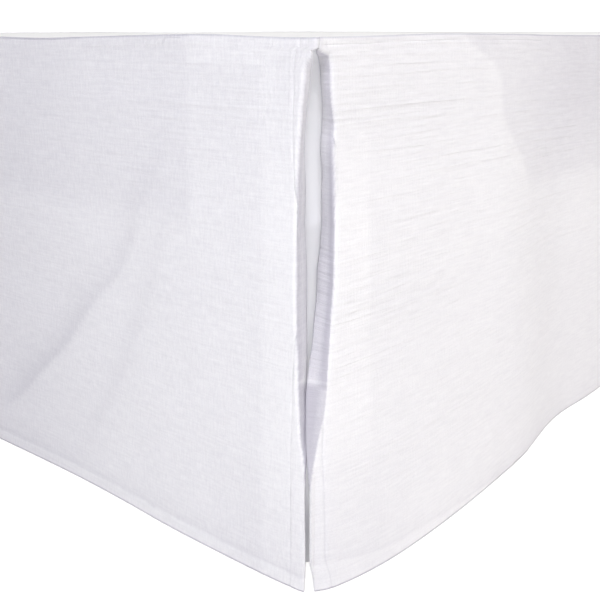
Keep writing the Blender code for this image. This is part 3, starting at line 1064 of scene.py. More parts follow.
def hang(drop, flat, height):
    """Along and outward places of a drop's outer face, before its fine relief."""
    near_along, near_inward = turned_end(drop.near, flat, height)
    far_along, far_inward = turned_end(drop.far, drop.length - flat, height)
    is_near = flat < drop.length / 2
    along = np.where(is_near, near_along, drop.length - far_along)
    inward = np.where(is_near, near_inward, far_inward)
    down = np.clip(1 - height / DECK_TOP, 0, 1)
    swell = through(drop.swell, along, "out") * down**FLARE_POWER
    settle = np.clip(down / SETTLE, 0, 1)
    folds = fold_depth(drop.folds, along, height) * settle
    creases = crease_depth(drop.creases, along, height)
    return along, swell + folds + creases - inward


def inward_of(drop, flat, height):
    """How far the cloth is turned inwards at either end of a drop."""
    near = turned_end(drop.near, flat, height)[1]
    far = turned_end(drop.far, drop.length - flat, height)[1]
    return near + far


def near_hem(drop, cloth, height):
    """Width of a drop's side hem at its near corner."""
    return cloth.hem * through(drop.side_hem, height, "share")


def hem_distance(drop, cloth, flat, height):
    """Distance of a place on the cloth from the nearest hem stitching."""
    near = np.abs(flat - near_hem(drop, cloth, height))
    far = np.abs(drop.length - flat - cloth.hem)
    foot = np.abs(height - through(drop.hem, flat, "height"))
    return np.minimum(np.minimum(near, far), foot)


def in_hem(drop, cloth, flat, height):
    """1 on a hem and 0 on the open cloth."""
    side = (flat < near_hem(drop, cloth, height)) | (drop.length - flat < cloth.hem)
    foot = height < through(drop.hem, flat, "height")
    return np.where(side | foot, 1.0, 0.0)


def normals_of(points, towards):
    """Unit normals of a grid of points, on the side of a direction."""
    across = np.gradient(points, axis=1)
    up = np.gradient(points, axis=0)
    normals = np.cross(across, up)
    normals /= np.linalg.norm(normals, axis=2, keepdims=True)
    if np.sum(normals @ np.array(towards, float)) < 0:
        normals = -normals
    return normals


def seam_strength(flat, seed):
    """How deep the top seam sinks along a drop, as a share of its full depth."""
    return SEAM_MEAN + SEAM_SPREAD * noise(flat / SEAM_CELL, np.zeros_like(flat), seed + SEAM_SEED)


def drape(drop, cloth):
    """The outer face of a drop as it hangs, with all its relief."""
    columns, rows = drop_columns(drop), drop_rows(drop)
    flat, height = np.meshgrid(columns, rows)
    along, outward = hang(drop, flat, height)
    lift = through(drop.waves, flat, "lift") * smooth_step(height, *WAVE_RISE)
    points = np.empty(flat.shape + (3,))
    points[..., 0] = drop.corner[0] + drop.along[0] * along + drop.outward[0] * outward
    points[..., 1] = drop.corner[1] + drop.along[1] * along + drop.outward[1] * outward
    points[..., 2] = height + lift
    normals = normals_of(points, (*drop.outward, 0))
    seed = cloth.seed + drop.seed
    hems = in_hem(drop, cloth, flat, height)
    turned = smooth_step(inward_of(drop, flat, height), *TURNED_FROM)
    open_cloth = (1 - HEM_CALM * hems) * (1 - TURNED_CALM * turned)
    relief = drop.look.crinkle * cloth.crinkle * open_cloth * (crinkle(flat, height, seed) - CRINKLE_LEVEL)
    dents = cloth_noise(flat, height, DENT_CELL, seed + DENT_SEED)
    dents += LEVEL_DENTS * cloth_noise(flat, height, LEVEL_DENT_CELL, seed + LEVEL_DENT_SEED)
    relief += cloth.dents * dents * (1 - hems)
    relief += ripple_depth(drop.ripples, along, height)
    from_stitch = hem_distance(drop, cloth, flat, height)
    relief += HEM_STEP * hems - cloth.hem_groove * np.exp(-((from_stitch / STITCH_GROOVE_WIDTH) ** 2))
    from_end = np.minimum(flat, drop.length - flat)
    groove = np.exp(-(((height - drop.groove) / GROOVE_WIDTH) ** 2)) * smooth_step(from_end, *GROOVE_ENDS)
    relief -= cloth.seam_groove * groove * seam_strength(flat, seed)
    relief -= RIDGE_DROP * np.clip((height - RIDGE_TOP + RIDGE_ROUND) / RIDGE_ROUND, 0, 1) ** 2
    relief *= FOOT_CALM + (1 - FOOT_CALM) * smooth_step(height, *FOOT_RISE)
    return Draped(points + normals * relief[..., None], normals, columns, rows, flat, height)


def insert_face(cloth, side):
    """The face of the insert behind one split: two wings and a round turn between them."""
    columns = np.linspace(-INSERT_REACH, INSERT_REACH, INSERT_COLUMNS)
    rows = np.linspace(INSERT_FOOT, INSERT_TOP, INSERT_ROWS)
    flat, height = np.meshgrid(columns, rows)
    radius = through(INSERT_ROUNDS, height, "radius")
    quarter = radius * math.pi / 4
    turn = np.clip(flat, -quarter, quarter)
    wing = flat - turn
    angle = math.pi / 4 + turn / radius
    centre = INSERT_BACK + radius
    back_x = centre - radius * np.sin(angle) + np.clip(-wing, 0, None)
    back_y = centre - radius * np.cos(angle) + np.clip(wing, 0, None)
    points = np.stack((side * (HALF_WIDTH - back_x), back_y - HALF_LENGTH, height), axis=2)
    normals = normals_of(points, (side, -1, 0))
    middle = 1 - smooth_step(np.abs(flat), *INSERT_MIDDLE)
    calm = smooth_step(height, *INSERT_CALM_FOOT) * (1 - smooth_step(height, *INSERT_CALM_TOP))
    relief = ripple_depth(RIPPLES_INSERT, flat * side, height)
    relief += INSERT_WAVE * cloth_noise(flat, height, INSERT_WAVE_CELL, cloth.seed + INSERT_SEED)
    relief = relief * middle * calm
    above_stitches = height - INSERT_FOOT - cloth.hem
    relief -= cloth.hem_groove * np.exp(-((above_stitches / INSERT_GROOVE_WIDTH) ** 2))
    return Draped(points + normals * relief[..., None], normals, columns, rows, flat, height)


def deck_face():
    """The face of the deck's cloth: soft wrinkles in the middle, and the top seam's waves at its edges."""
    columns = np.linspace(DECK_LOW.x, DECK_HIGH.x, DECK_COLUMNS)
    rows = np.linspace(DECK_LOW.y, DECK_HIGH.y, DECK_ROWS)
    x, y = np.meshgrid(columns, rows)
    edge = np.minimum(DECK_HIGH.x - np.abs(x), DECK_HIGH.y - np.abs(y))
    lying = 1 - np.exp(-((edge / DECK_EDGE) ** 2))
    drift = DECK_DRIFT * cloth_noise(x, y, DECK_DRIFT_CELL, DECK_DRIFT_SEED)
    wrinkle = noise(x / DECK_WRINKLE_CELL[0] + drift, y / DECK_WRINKLE_CELL[1], DECK_SEED)
    height = DECK_TOP + lying * (DECK_LIFT + DECK_WRINKLE * np.abs(wrinkle))
    for drop in DROPS:
        from_x, from_y = x - drop.corner[0], y - drop.corner[1]
        across = from_x * drop.along[0] + from_y * drop.along[1]
        beside = -from_x * drop.outward[0] - from_y * drop.outward[1]
        near_seam = DECK_WAVE_SHARE * np.exp(-((beside / DECK_WAVE_REACH) ** 2))
        height = height + through(drop.waves, across, "lift") * near_seam
    points = np.stack((x, y, height), axis=2)
    return Draped(points, normals_of(points, (0, 0, 1)), columns, rows, x, y)


# --------------------------------------------------------------------------------------------------
# Painted shade of the gauze: what shows through it, the split's shadow and dark hem lines; and its relief


# Share of painted shade for the base seen through the gauze, what of it shows below the base, where the
# base's lower edge is, and the share of painted shade that lies beside a full crease
SEE_THROUGH_SHADE = 0.22
UNDER_BASE = 0.45
BASE_EDGE = (0.245, 0.272)
CREASE_SHADE = 0.24

# Where the cloth counts as turned in and takes the split's painted shade, where it is deep in the split, and
# where the turn ends at the top
TURNED_IN = (0.0001, 0.0006)
DEEP_IN = (0.0005, 0.0080)
TURN_TOP = (0.3786, 0.3796)

# A turned hem has painted shade for the split's shadow, at two levels, one above and one below a thin line
# of less painted shade across the split. Each level loses some of its shade between two heights.
TONE_CHANGE = (0.154, 0.159)
FOLD_DARKER = 0.9
UPPER_SHADE, UPPER_SHADE_LOSS, UPPER_SHADE_HEIGHTS = 1.18, 0.36, (0.24, 0.34)
LOWER_SHADE, LOWER_SHADE_LOSS, LOWER_SHADE_HEIGHTS = 1.4, 0.4, (0.08, 0.15)
LIGHT_LINE, LIGHT_LINE_HEIGHT, LIGHT_LINE_WIDTH = 0.30, 0.1602, 0.0013

# Painted shade at the top of the corner, and a painted shadow line along the top of the ridge
CORNER_SHADE, CORNER_REACH, CORNER_TOP = 0.15, (0.001, 0.005), (0.3780, 0.3800)
RIDGE_TOP_SHADOW_RISE = (0.3838, 0.3845)

# Painted shades of the hems: above the floor hem's stitching, less of it on the hem itself, a painted shadow
# at its lower edge, and along a side hem's stitching
HEM_LINE_SHADE, HEM_LINE_RISE, HEM_LINE_REACH = 0.17, (-0.0008, 0.0010), 0.007
HEM_LIGHT, HEM_LIGHT_RISE = 0.05, (-0.0015, 0.0)
LOWER_EDGE_SHADE, LOWER_EDGE_TOP = 1.1, 0.0033
SIDE_LINE_WIDTH, SIDE_LINE_TOP = 0.0007, (0.13, 0.16)

# Puckers: their reach below the seam
PUCKER_FROM = (-0.0010, 0.0008)
PUCKER_TO = (0.003, 0.010)

# Where the ridge of a drop that has the light behind it glows with painted light
RIDGE_LIGHT_RISE = (0.3815, 0.3822)


def see_through_shade(look, flat, height):
    """Painted shade on the open cloth: the base seen through it, the insert's patch and the soft shades."""
    patch = look.patch
    edge = through(patch.edge, height, "along")
    lined = smooth_step(flat, edge + patch.blur, edge - patch.blur) * smooth_step(height, *patch.foot)
    plain = np.maximum(smooth_step(flat, *patch.near), lined * smooth_step(height, *patch.tuck))
    base = UNDER_BASE + (1 - UNDER_BASE) * smooth_step(height, *BASE_EDGE)
    shown = base * (1 - lined) + patch.tone * lined * (1 - plain)
    for shade in look.shades:
        beside = smooth_step(flat, shade.flat_from, shade.flat_to)
        shown += shade.strength * beside * smooth_step(height, shade.height_from, shade.height_to)
    return shown


def turned_hem_shade(look, inward, height):
    """Painted shade of a hem turned into a split: two levels with a thin line of less shade between them."""
    deep = smooth_step(inward, *DEEP_IN)
    low = 1 - smooth_step(height, *TONE_CHANGE)
    upper_shade_level = UPPER_SHADE - UPPER_SHADE_LOSS * smooth_step(height, *UPPER_SHADE_HEIGHTS)
    high_shade = look.turned_shade * (1 + FOLD_DARKER * (1 - deep)) * upper_shade_level
    lower_shade_level = LOWER_SHADE - LOWER_SHADE_LOSS * smooth_step(height, *LOWER_SHADE_HEIGHTS)
    low_shade = look.low_shade * (1 - look.turned_fade * (1 - deep)) * lower_shade_level
    line = LIGHT_LINE * np.exp(-(((height - LIGHT_LINE_HEIGHT) / LIGHT_LINE_WIDTH) ** 2))
    return high_shade * (1 - low) + low_shade * low - line


def hem_lines(drop, cloth, flat, height):
    """Painted shade of a drop's hems along their stitching, and a painted shadow at the lower edge."""
    above = height - through(drop.hem, flat, "height")
    stitched = smooth_step(above, *HEM_LINE_RISE) * np.exp(-np.clip(above, 0, None) / HEM_LINE_REACH)
    floor_hem = HEM_LINE_SHADE * stitched - HEM_LIGHT * (1 - smooth_step(above, *HEM_LIGHT_RISE))
    lower_edge = LOWER_EDGE_SHADE * (1 - smooth_step(height, DROP_FOOT, LOWER_EDGE_TOP))
    from_side = (flat - near_hem(drop, cloth, height)) / SIDE_LINE_WIDTH
    side_line = np.exp(-(from_side**2)) * (1 - smooth_step(height, *SIDE_LINE_TOP))
    return drop.look.hem_line * floor_hem + lower_edge + drop.look.side_line * side_line


def shade_of(drop, cloth, flat, height):
    """How far a drop's colour goes to its painted shade, on the open cloth and on the turned hems."""
    look = drop.look
    inward = inward_of(drop, flat, height)
    turned = smooth_step(inward, *TURNED_IN) * (1 - smooth_step(height, *TURN_TOP))
    open_shade = SEE_THROUGH_SHADE * see_through_shade(look, flat, height)
    if drop.creases[0].runs == "up":
        open_shade += CREASE_SHADE * crease_shade(drop.creases, flat, height)
    shade = open_shade * (1 - turned) + turned_hem_shade(look, inward, height) * turned
    shade += CORNER_SHADE * (1 - smooth_step(flat, *CORNER_REACH)) * smooth_step(height, *CORNER_TOP)
    shade += look.top_line * smooth_step(height, *RIDGE_TOP_SHADOW_RISE)
    return shade + hem_lines(drop, cloth, flat, height)


def crinkled(drop, flat, height, seed):
    """How strongly the gauze is crinkled, from place to place."""
    patch = cloth_noise(flat, height, BUMP_PATCH, seed + BUMP_SEED)
    patch += SMALL_BUMP_SHARE * cloth_noise(flat, height, SMALL_BUMP_PATCH, seed + SMALL_BUMP_SEED)
    calmer_below = CALM_LEAST + (1 - CALM_LEAST) * smooth_step(height, *CALM_BELOW)
    return drop.look.crinkle * calmer_below * np.clip(BUMP_MEAN + BUMP_SPREAD * patch, 0, BUMP_MOST)


def puckered(drop, flat, height):
    """How strongly a drop puckers under its top seam."""
    below = drop.groove - height
    reach = smooth_step(below, *PUCKER_FROM) * (1 - smooth_step(below, *PUCKER_TO))
    return reach * through(drop.puckers, flat, "strength")


# --------------------------------------------------------------------------------------------------
# Meshes


def sheet_mesh(name, draped, towards, layers):
    """A sheet through a grid of points. Its UV map is the flat cloth in metres."""
    rows, columns = draped.flat.shape
    index = np.arange(rows * columns).reshape(rows, columns)
    corners = np.stack((index[:-1, :-1], index[:-1, 1:], index[1:, 1:], index[1:, :-1]), axis=2)
    mesh = bpy.data.meshes.new(name)
    mesh.from_pydata(draped.points.reshape(-1, 3).tolist(), [], corners.reshape(-1, 4).tolist())
    flat_cloth = np.stack((draped.flat, draped.height), axis=2).reshape(-1, 2)
    loops = corners.reshape(-1)
    mesh.uv_layers.new(name="Cloth").uv.foreach_set("vector", flat_cloth[loops].astype(np.float32).ravel())
    for label, values in layers.items():
        attribute = mesh.attributes.new(label, "FLOAT", "POINT")
        attribute.data.foreach_set("value", values.astype(np.float32).ravel())
    first = mesh.polygons[len(mesh.polygons) // 2]
    if first.normal.dot(Vector(towards)) < 0:
        mesh.flip_normals()
    mesh.shade_smooth()
    return mesh


def add_piece(mesh, material):
    """Links a finished mesh as a piece of the bed skirt and gives it its finish."""
    piece = bpy.data.objects.new(mesh.name, mesh)
    bpy.context.scene.collection.objects.link(piece)
    if material is not None:
        mesh.materials.clear()
        mesh.materials.append(material)
    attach(piece, BODY)
    return piece


def thicken(piece, thickness):
    """Gives a sheet its thickness behind its outer face."""
    solidify = piece.modifiers.new("Cloth", "SOLIDIFY")
    solidify.thickness = thickness
    solidify.offset = -1


def base_ring(inset):
    """Points round the base's plan, a rectangle with round corners, at one inset from its sides."""
    reach_x, reach_y = BASE_HIGH.x - inset, BASE_HIGH.y - inset
    radius = max(BASE_ROUND - inset, BASE_LEAST_ROUND)
    turns = np.linspace(0, math.pi / 2, BASE_TURN_POINTS)
    ring = []
    for quarter, (side_x, side_y) in enumerate(((1, 1), (-1, 1), (-1, -1), (1, -1))):
        angle = turns + quarter * math.pi / 2
        corner_x = side_x * (reach_x - radius) + radius * np.cos(angle)
        corner_y = side_y * (reach_y - radius) + radius * np.sin(angle)
        ring += list(zip(corner_x, corner_y))
        is_short = quarter % 2 == 0
        share = np.linspace(0, 1, BASE_END_POINTS if is_short else BASE_SIDE_POINTS)[1:-1]
        step = (-2 * (reach_x - radius), 0) if is_short else (0, -2 * (reach_y - radius))
        sign = 1 if quarter < 2 else -1
        ring += [(corner_x[-1] + sign * step[0] * t, corner_y[-1] + sign * step[1] * t) for t in share]
    return np.array(ring)


def base_mesh(cloth):
    """The upholstered base: a soft border between two welts, closed by a flat top and a flat bottom."""
    outer = base_ring(0.0)
    steps = np.linalg.norm(np.diff(outer, axis=0, append=outer[:1]), axis=1)
    around = np.concatenate(((0.0,), np.cumsum(steps)))
    count = len(outer)
    points, places, up = [], [], 0.0
    for k, section in enumerate(BASE_SECTION):
        height = BASE_LOW.z + section.height
        level = np.full(count, section.height)
        soft = BASE_SOFT * (1 + cloth_noise(around[:-1], level, BASE_SOFT_CELL, cloth.seed + COVER_SEED))
        border = smooth_step(section.height, *BASE_BORDER_LOW)
        border *= 1 - smooth_step(section.height, *BASE_BORDER_HIGH)
        ring = base_ring(section.inset) * (1 - soft * border / BASE_HIGH.y)[:, None]
        points += [(x, y, height) for x, y in ring]
        if k:
            before = BASE_SECTION[k - 1]
            up += math.hypot(section.inset - before.inset, section.height - before.height)
        places.append(up)
    points += [(0.0, 0.0, BASE_LOW.z + section.height) for section in (BASE_SECTION[0], BASE_SECTION[-1])]
    faces, cloth_places = [], []
    for k in range(len(BASE_SECTION) - 1):
        for j in range(count):
            after = (j + 1) % count
            faces.append((k * count + j, k * count + after, (k + 1) * count + after, (k + 1) * count + j))
            low, high = places[k], places[k + 1]
            here, there = around[j], around[j + 1]
            cloth_places += [(here, low), (there, low), (there, high), (here, high)]
    last = (len(BASE_SECTION) - 1) * count
    for j in range(count):
        after = (j + 1) % count
        faces += [(after, j, len(points) - 2), (last + j, last + after, len(points) - 1)]
        for corner in faces[-2] + faces[-1]:
            cloth_places.append(points[corner][:2])
    mesh = bpy.data.meshes.new("base_cover")
    mesh.from_pydata(points, [], faces)
    mesh.uv_layers.new(name="Cloth").uv.foreach_set("vector", np.array(cloth_places, np.float32).ravel())
    mesh.shade_smooth()
    return mesh


def legs_mesh(places):
    """All the legs as one mesh: each a turned solid round its own place."""
    angle = np.linspace(0, 2 * math.pi, LEG_SIDES, endpoint=False)
    points, faces = [], []
    for x, y in places:
        start = len(points)
        for turn in LEG_SECTION:
            across, up = turn.radius, turn.height
            points += [(x + across * math.cos(a), y + across * math.sin(a), up) for a in angle]
        for k in range(len(LEG_SECTION) - 1):
            low, high = start + k * LEG_SIDES, start + (k + 1) * LEG_SIDES
            for j in range(LEG_SIDES):
                after = (j + 1) % LEG_SIDES
                faces.append((low + j, low + after, high + after, high + j))
        top = start + (len(LEG_SECTION) - 1) * LEG_SIDES
        faces.append(tuple(range(start + LEG_SIDES - 1, start - 1, -1)))
        faces.append(tuple(range(top, top + LEG_SIDES)))
    mesh = bpy.data.meshes.new("legs")
    mesh.from_pydata(points, [], faces)
    mesh.shade_smooth()
    return mesh


def on_sheet(draped, flat, height, lift):
    """Points that lie on a draped sheet at places of its flat cloth, lifted off its face."""
    column = np.interp(flat, draped.columns, np.arange(len(draped.columns)))
    row = np.interp(height, draped.rows, np.arange(len(draped.rows)))
    c = np.clip(column.astype(int), 0, len(draped.columns) - 2)
    r = np.clip(row.astype(int), 0, len(draped.rows) - 2)
    x = (column - c)[:, None]
    y = (row - r)[:, None]
    surface = draped.points + draped.normals * lift
    low = surface[r, c] * (1 - x) + surface[r, c + 1] * x
    high = surface[r + 1, c] * (1 - x) + surface[r + 1, c + 1] * x
    return low * (1 - y) + high * y


def seam_mesh(name, lines):
    """Loose edges that follow seams: one chain for each line of points."""
    points, edges = [], []
    for line in lines:
        start = len(points)
        points += [tuple(point) for point in line]
        edges += [(i, i + 1) for i in range(start, start + len(line) - 1)]
    mesh = bpy.data.meshes.new(name)
    mesh.from_pydata(points, edges, [])
    return mesh


# --------------------------------------------------------------------------------------------------
# Materials


# Cells of the gauze's threads, crests and mottle, in metres of cloth: their length and their height
WEFT = (0.036, 0.0017)
WARP = (0.0015, 0.018)
GRAIN = (0.0010, 0.0010)
LONG_CREST = (0.300, 0.0085)
SHORT_CREST = (0.055, 0.0045)
CREST_PATCH = (0.070, 0.030)
LINE = (0.220, 0.0038)
PUCKER = (0.0042, 0.015)
MOTTLE = (0.045, 0.016)
THREAD_DOWN = (0.0018, 0.0080)
THREAD_ACROSS = (0.019, 0.0019)

# Widths of the crests, in levels of their noise, and the leans of the grain and of the puckers
LONG_CREST_WIDTH = 0.075
SHORT_CREST_WIDTH = 0.090
GRAIN_LEAN = 0.6
PUCKER_LEAN = math.radians(38)

# What makes up the crests, the threads' relief, and the random tone added to the gauze's painted shade
LONG_IN_CRESTS, SHORT_IN_CRESTS, WEFT_IN_CRESTS, LINES_IN_CRESTS = 0.8, 0.15, 0.60, 2.2
CRESTS_IN_RELIEF, WEFT_IN_RELIEF, WARP_IN_RELIEF, GRAIN_IN_RELIEF = 0.75, 0.20, 0.85, 0.30
MOTTLE_IN_SHADE, DOWN_IN_SHADE, ACROSS_IN_SHADE, GRAIN_IN_SHADE = 0.07, 0.30, 0.24, 0.26

# Heights of the gauze's relief, and the share of shade that all of it has
GAUZE_DEPTH = 0.00050
PUCKER_DEPTH = 0.0011
LEAST_SHADE = 0.10

# Finish of the cloths: roughness of the gauze and of plain cloth, sheen and gloss of both
GAUZE_ROUGHNESS = (0.84, 0.96)
PLAIN_ROUGHNESS = (0.80, 0.95)
CLOTH_SHEEN = 0.06
CLOTH_GLOSS = 0.2

# Plain cloths: thread and depth of each weave
INSERT_WEAVE = (0.0005, 0.00006)
DECK_WEAVE = (0.0009, 0.00003)
COVER_WEAVE = (0.0012, 0.0003)

# Plain cloth: how much longer than wide its threads show, its mottle's cell and share, and its darker tone
THREAD_SPAN = 9
PLAIN_MOTTLE = (0.055, 0.055)
MOTTLE_IN_PLAIN = 0.6
PLAIN_DARKER = 0.93

# Thread and wood: the thread's twists, the grains of the wood to a metre each way, their darker tones, the
# depth and strength of their relief, and the wood's roughness
TWISTS_PER_METRE = 2600.0
THREAD_DARKER = 0.9
THREAD_RELIEF = (0.0001, 0.6)
WOOD_GRAIN = (90, 90, 5)
WOOD_DARKER = 0.45
WOOD_ROUGHNESS = (0.32, 0.52)
WOOD_RELIEF = (0.0003, 0.5)


def set_inputs(tree, node, inputs):
    """Fills a node's inputs. Each is a value, or an output of another node to link."""
    for name, value in inputs.items():
        if isinstance(value, bpy.types.NodeSocket):
            tree.links.new(value, node.inputs[name])
        else:
            node.inputs[name].default_value = value


def add_node(tree, kind, inputs=None, **settings):
    """Adds one node with its settings and inputs."""
    node = tree.nodes.new(kind)
    for name, value in settings.items():
        setattr(node, name, value)
    set_inputs(tree, node, inputs or {})
    return node


def new_material(name):
    """A new material, its tree and its Principled shader."""
    material = bpy.data.materials.new(name)
    material.use_nodes = True
    return material, material.node_tree, material.node_tree.nodes["Principled BSDF"]


def layer(tree, name):
    """One of a sheet's layers: a number at each place of the cloth."""
    return add_node(tree, "ShaderNodeAttribute", attribute_name=name).outputs["Fac"]


def maths(tree, operation, *values, **settings):
    """One step of arithmetic on outputs and numbers."""
    return add_node(
        tree, "ShaderNodeMath", dict(enumerate(values)), operation=operation, **settings).outputs["Value"]


def product(tree, one, other):
    """One output times another, or times a number."""
    return maths(tree, "MULTIPLY", one, other)


def about_zero(tree, output):
    """A noise shifted so that its middle level is zero."""
    return maths(tree, "SUBTRACT", output, 0.5)


def add_up(tree, *terms):
    """Weighted sum of outputs: each term is an output and its weight."""
    total = 0.0
    for output, weight in terms:
        total = maths(tree, "MULTIPLY_ADD", output, weight, total)
    return total


def spread(tree, share, low, high):
    """A share from 0 to 1, spread between two values."""
    return add_node(
        tree, "ShaderNodeMapRange", {"Value": share, "To Min": low, "To Max": high}).outputs["Result"]


def tinted(tree, share, colour, other):
    """A colour that goes to another by a share. The Mix node has its colours in sockets 6, 7 and 2."""
    return add_node(
        tree, "ShaderNodeMix", {"Factor": share, 6: (*colour, 1.0), 7: (*other, 1.0)},
        data_type="RGBA").outputs[2]


def darker(colour, level):
    """A colour at a lower level."""
    return tuple(part * level for part in colour)


def bumped(tree, height, distance, strength=1.0, **under):
    """The normals of a relief, on those of another one where it is given."""
    return add_node(
        tree, "ShaderNodeBump",
        {"Height": height, "Strength": strength, "Distance": distance, **under}).outputs["Normal"]


def stretched_noise(tree, vector, cell, lean=0.0, detail=2.0):
    """Noise in long cells: their length and height in metres of cloth, and how far they lean."""
    mapping = add_node(
        tree, "ShaderNodeMapping", {"Vector": vector, "Scale": (*cell, 1.0), "Rotation": (0.0, 0.0, lean)},
        vector_type="TEXTURE")
    return add_node(
        tree, "ShaderNodeTexNoise", {"Vector": mapping.outputs["Vector"], "Scale": 1.0, "Detail": detail},
        noise_dimensions="2D").outputs["Fac"]


def crest_lines(tree, noise_output, width):
    """Thin crests along the middle level of a noise: 1 on a crest and 0 off it."""
    away = maths(tree, "ABSOLUTE", about_zero(tree, noise_output))
    return add_node(
        tree, "ShaderNodeMapRange", {"Value": away, "From Max": width, "To Min": 1.0, "To Max": 0.0},
        interpolation_type="SMOOTHSTEP").outputs["Result"]


def gauze_relief(tree, cloth, weft, grain, warp_share):
    """Relief of the gauze: uneven threads both ways, long thin crests, puckers under the top seam."""
    warp = stretched_noise(tree, cloth, WARP)
    long = stretched_noise(tree, cloth, LONG_CREST, detail=0.0)
    long_crests = crest_lines(tree, long, LONG_CREST_WIDTH)
    short = stretched_noise(tree, cloth, SHORT_CREST, detail=1.0)
    short_crests = crest_lines(tree, short, SHORT_CREST_WIDTH)
    patch = stretched_noise(tree, cloth, CREST_PATCH)
    lines = stretched_noise(tree, cloth, LINE, detail=0.5)
    crests = add_up(
        tree, (product(tree, long_crests, patch), LONG_IN_CRESTS), (short_crests, SHORT_IN_CRESTS),
        (weft, WEFT_IN_CRESTS), (lines, LINES_IN_CRESTS))
    threads = add_up(
        tree, (product(tree, crests, layer(tree, "crinkled")), CRESTS_IN_RELIEF), (weft, WEFT_IN_RELIEF),
        (product(tree, warp, warp_share), WARP_IN_RELIEF), (grain, GRAIN_IN_RELIEF))
    pucker = stretched_noise(tree, cloth, PUCKER, lean=PUCKER_LEAN, detail=1.0)
    puckers = product(tree, pucker, layer(tree, "puckered"))
    return bumped(tree, puckers, PUCKER_DEPTH, Normal=bumped(tree, threads, GAUZE_DEPTH))


def gauze_material(colours):
    """Crinkled cotton gauze, going to its painted shade where the base shows through and on turned hems."""
    material, tree, shader = new_material("Crinkled cotton gauze")
    cloth = add_node(tree, "ShaderNodeUVMap", uv_map="Cloth").outputs["UV"]
    warp_share = layer(tree, "warped")
    weft = stretched_noise(tree, cloth, WEFT)
    grain = stretched_noise(tree, cloth, GRAIN, lean=GRAIN_LEAN)
    mottle = about_zero(tree, stretched_noise(tree, cloth, MOTTLE, detail=3.0))
    thread_down = about_zero(tree, stretched_noise(tree, cloth, THREAD_DOWN))
    thread_across = about_zero(tree, stretched_noise(tree, cloth, THREAD_ACROSS))
    # Painted shade from the layer, with random mottle and thread tone added
    uneven = add_up(
        tree, (layer(tree, "shade"), 1.0), (mottle, MOTTLE_IN_SHADE),
        (product(tree, thread_down, warp_share), DOWN_IN_SHADE), (thread_across, ACROSS_IN_SHADE),
        (about_zero(tree, grain), GRAIN_IN_SHADE))
    shade = maths(tree, "ADD", uneven, LEAST_SHADE, use_clamp=True)
    set_inputs(tree, shader, {
        "Base Color": tinted(tree, shade, colours.gauze, colours.gauze_painted_shade),
        "Roughness": spread(tree, grain, *GAUZE_ROUGHNESS),
        "Normal": gauze_relief(tree, cloth, weft, grain, warp_share),
        # Painted light: a ridge lit from behind glows
        "Emission Strength": product(tree, layer(tree, "lit"), colours.ridge_glow),
        "Emission Color": (*colours.gauze, 1.0),
        "Sheen Weight": CLOTH_SHEEN,
        "Sheen Roughness": 0.5,
        "Specular IOR Level": CLOTH_GLOSS,
    })
    return material


def plain_cloth_material(name, colour, thread, depth, glow=0.0):
    """Plain weave: even threads over and under, a little mottled, with a painted glow for light through it.
    """
    material, tree, shader = new_material(name)
    cloth = add_node(tree, "ShaderNodeUVMap", uv_map="Cloth").outputs["UV"]
    across = stretched_noise(tree, cloth, (thread, THREAD_SPAN * thread))
    up = stretched_noise(tree, cloth, (THREAD_SPAN * thread, thread))
    mottle = stretched_noise(tree, cloth, PLAIN_MOTTLE, detail=4.0)
    weave = add_up(tree, (across, 0.5), (up, 0.5))
    shade = add_up(tree, (mottle, MOTTLE_IN_PLAIN), (weave, 1 - MOTTLE_IN_PLAIN))
    set_inputs(tree, shader, {
        "Base Color": tinted(tree, shade, colour, darker(colour, PLAIN_DARKER)),
        "Roughness": spread(tree, weave, *PLAIN_ROUGHNESS),
        "Normal": bumped(tree, weave, depth),
        "Emission Strength": product(tree, layer(tree, "lit"), glow),
        "Emission Color": (*colour, 1.0),
        "Sheen Weight": CLOTH_SHEEN,
        "Specular IOR Level": CLOTH_GLOSS,
    })
    return material


def thread_material(colours):
    """Sewing thread: smooth cotton with its twist."""
    material, tree, shader = new_material("Sewing thread")
    place = add_node(tree, "ShaderNodeTexCoord").outputs["Object"]
    twist = add_node(
        tree, "ShaderNodeTexNoise",
        {"Vector": place, "Scale": TWISTS_PER_METRE, "Detail": 1.0}).outputs["Fac"]
    set_inputs(tree, shader, {
        "Base Color": tinted(tree, twist, colours.thread, darker(colours.thread, THREAD_DARKER)),
        "Normal": bumped(tree, twist, *THREAD_RELIEF),
        "Roughness": 0.6,
    })
    return material


def wood_material(colours):
    """Stained wood with its grain running up the leg."""
    material, tree, shader = new_material("Stained leg wood")
    place = add_node(tree, "ShaderNodeTexCoord").outputs["Object"]
    mapping = add_node(tree, "ShaderNodeMapping", {"Vector": place, "Scale": WOOD_GRAIN}).outputs["Vector"]
    grain = add_node(
        tree, "ShaderNodeTexNoise",
        {"Vector": mapping, "Scale": 1.0, "Detail": 6.0, "Roughness": 0.62,
         "Distortion": 0.6}).outputs["Fac"]
    bands = add_node(
        tree, "ShaderNodeMapRange", {"Value": grain, "From Min": 0.3, "From Max": 0.7}).outputs["Result"]
    set_inputs(tree, shader, {
        "Base Color": tinted(tree, bands, darker(colours.wood, WOOD_DARKER), colours.wood),
        "Roughness": spread(tree, grain, *WOOD_ROUGHNESS),
        "Normal": bumped(tree, grain, *WOOD_RELIEF),
        "Coat Weight": 0.25,
        "Coat Roughness": 0.2,
    })
    return material


# --------------------------------------------------------------------------------------------------
# Stitching


# How far the stitches differ in length and thickness
STITCH_LEAST = (0.86, 0.85, 0.85)
STITCH_MOST = (1.08, 1.15, 1.15)

# Stitch lines: where the side hems' lines start and end, the distances between points, and the lift of the
# thread off the face, as a share of its thickness
SIDE_SEAM_FOOT, SIDE_SEAM_TOP, SIDE_SEAM_STEP = 0.004, 0.3795, 0.004
FLOOR_SEAM_STEP = 0.006
THREAD_LIFT = 0.25


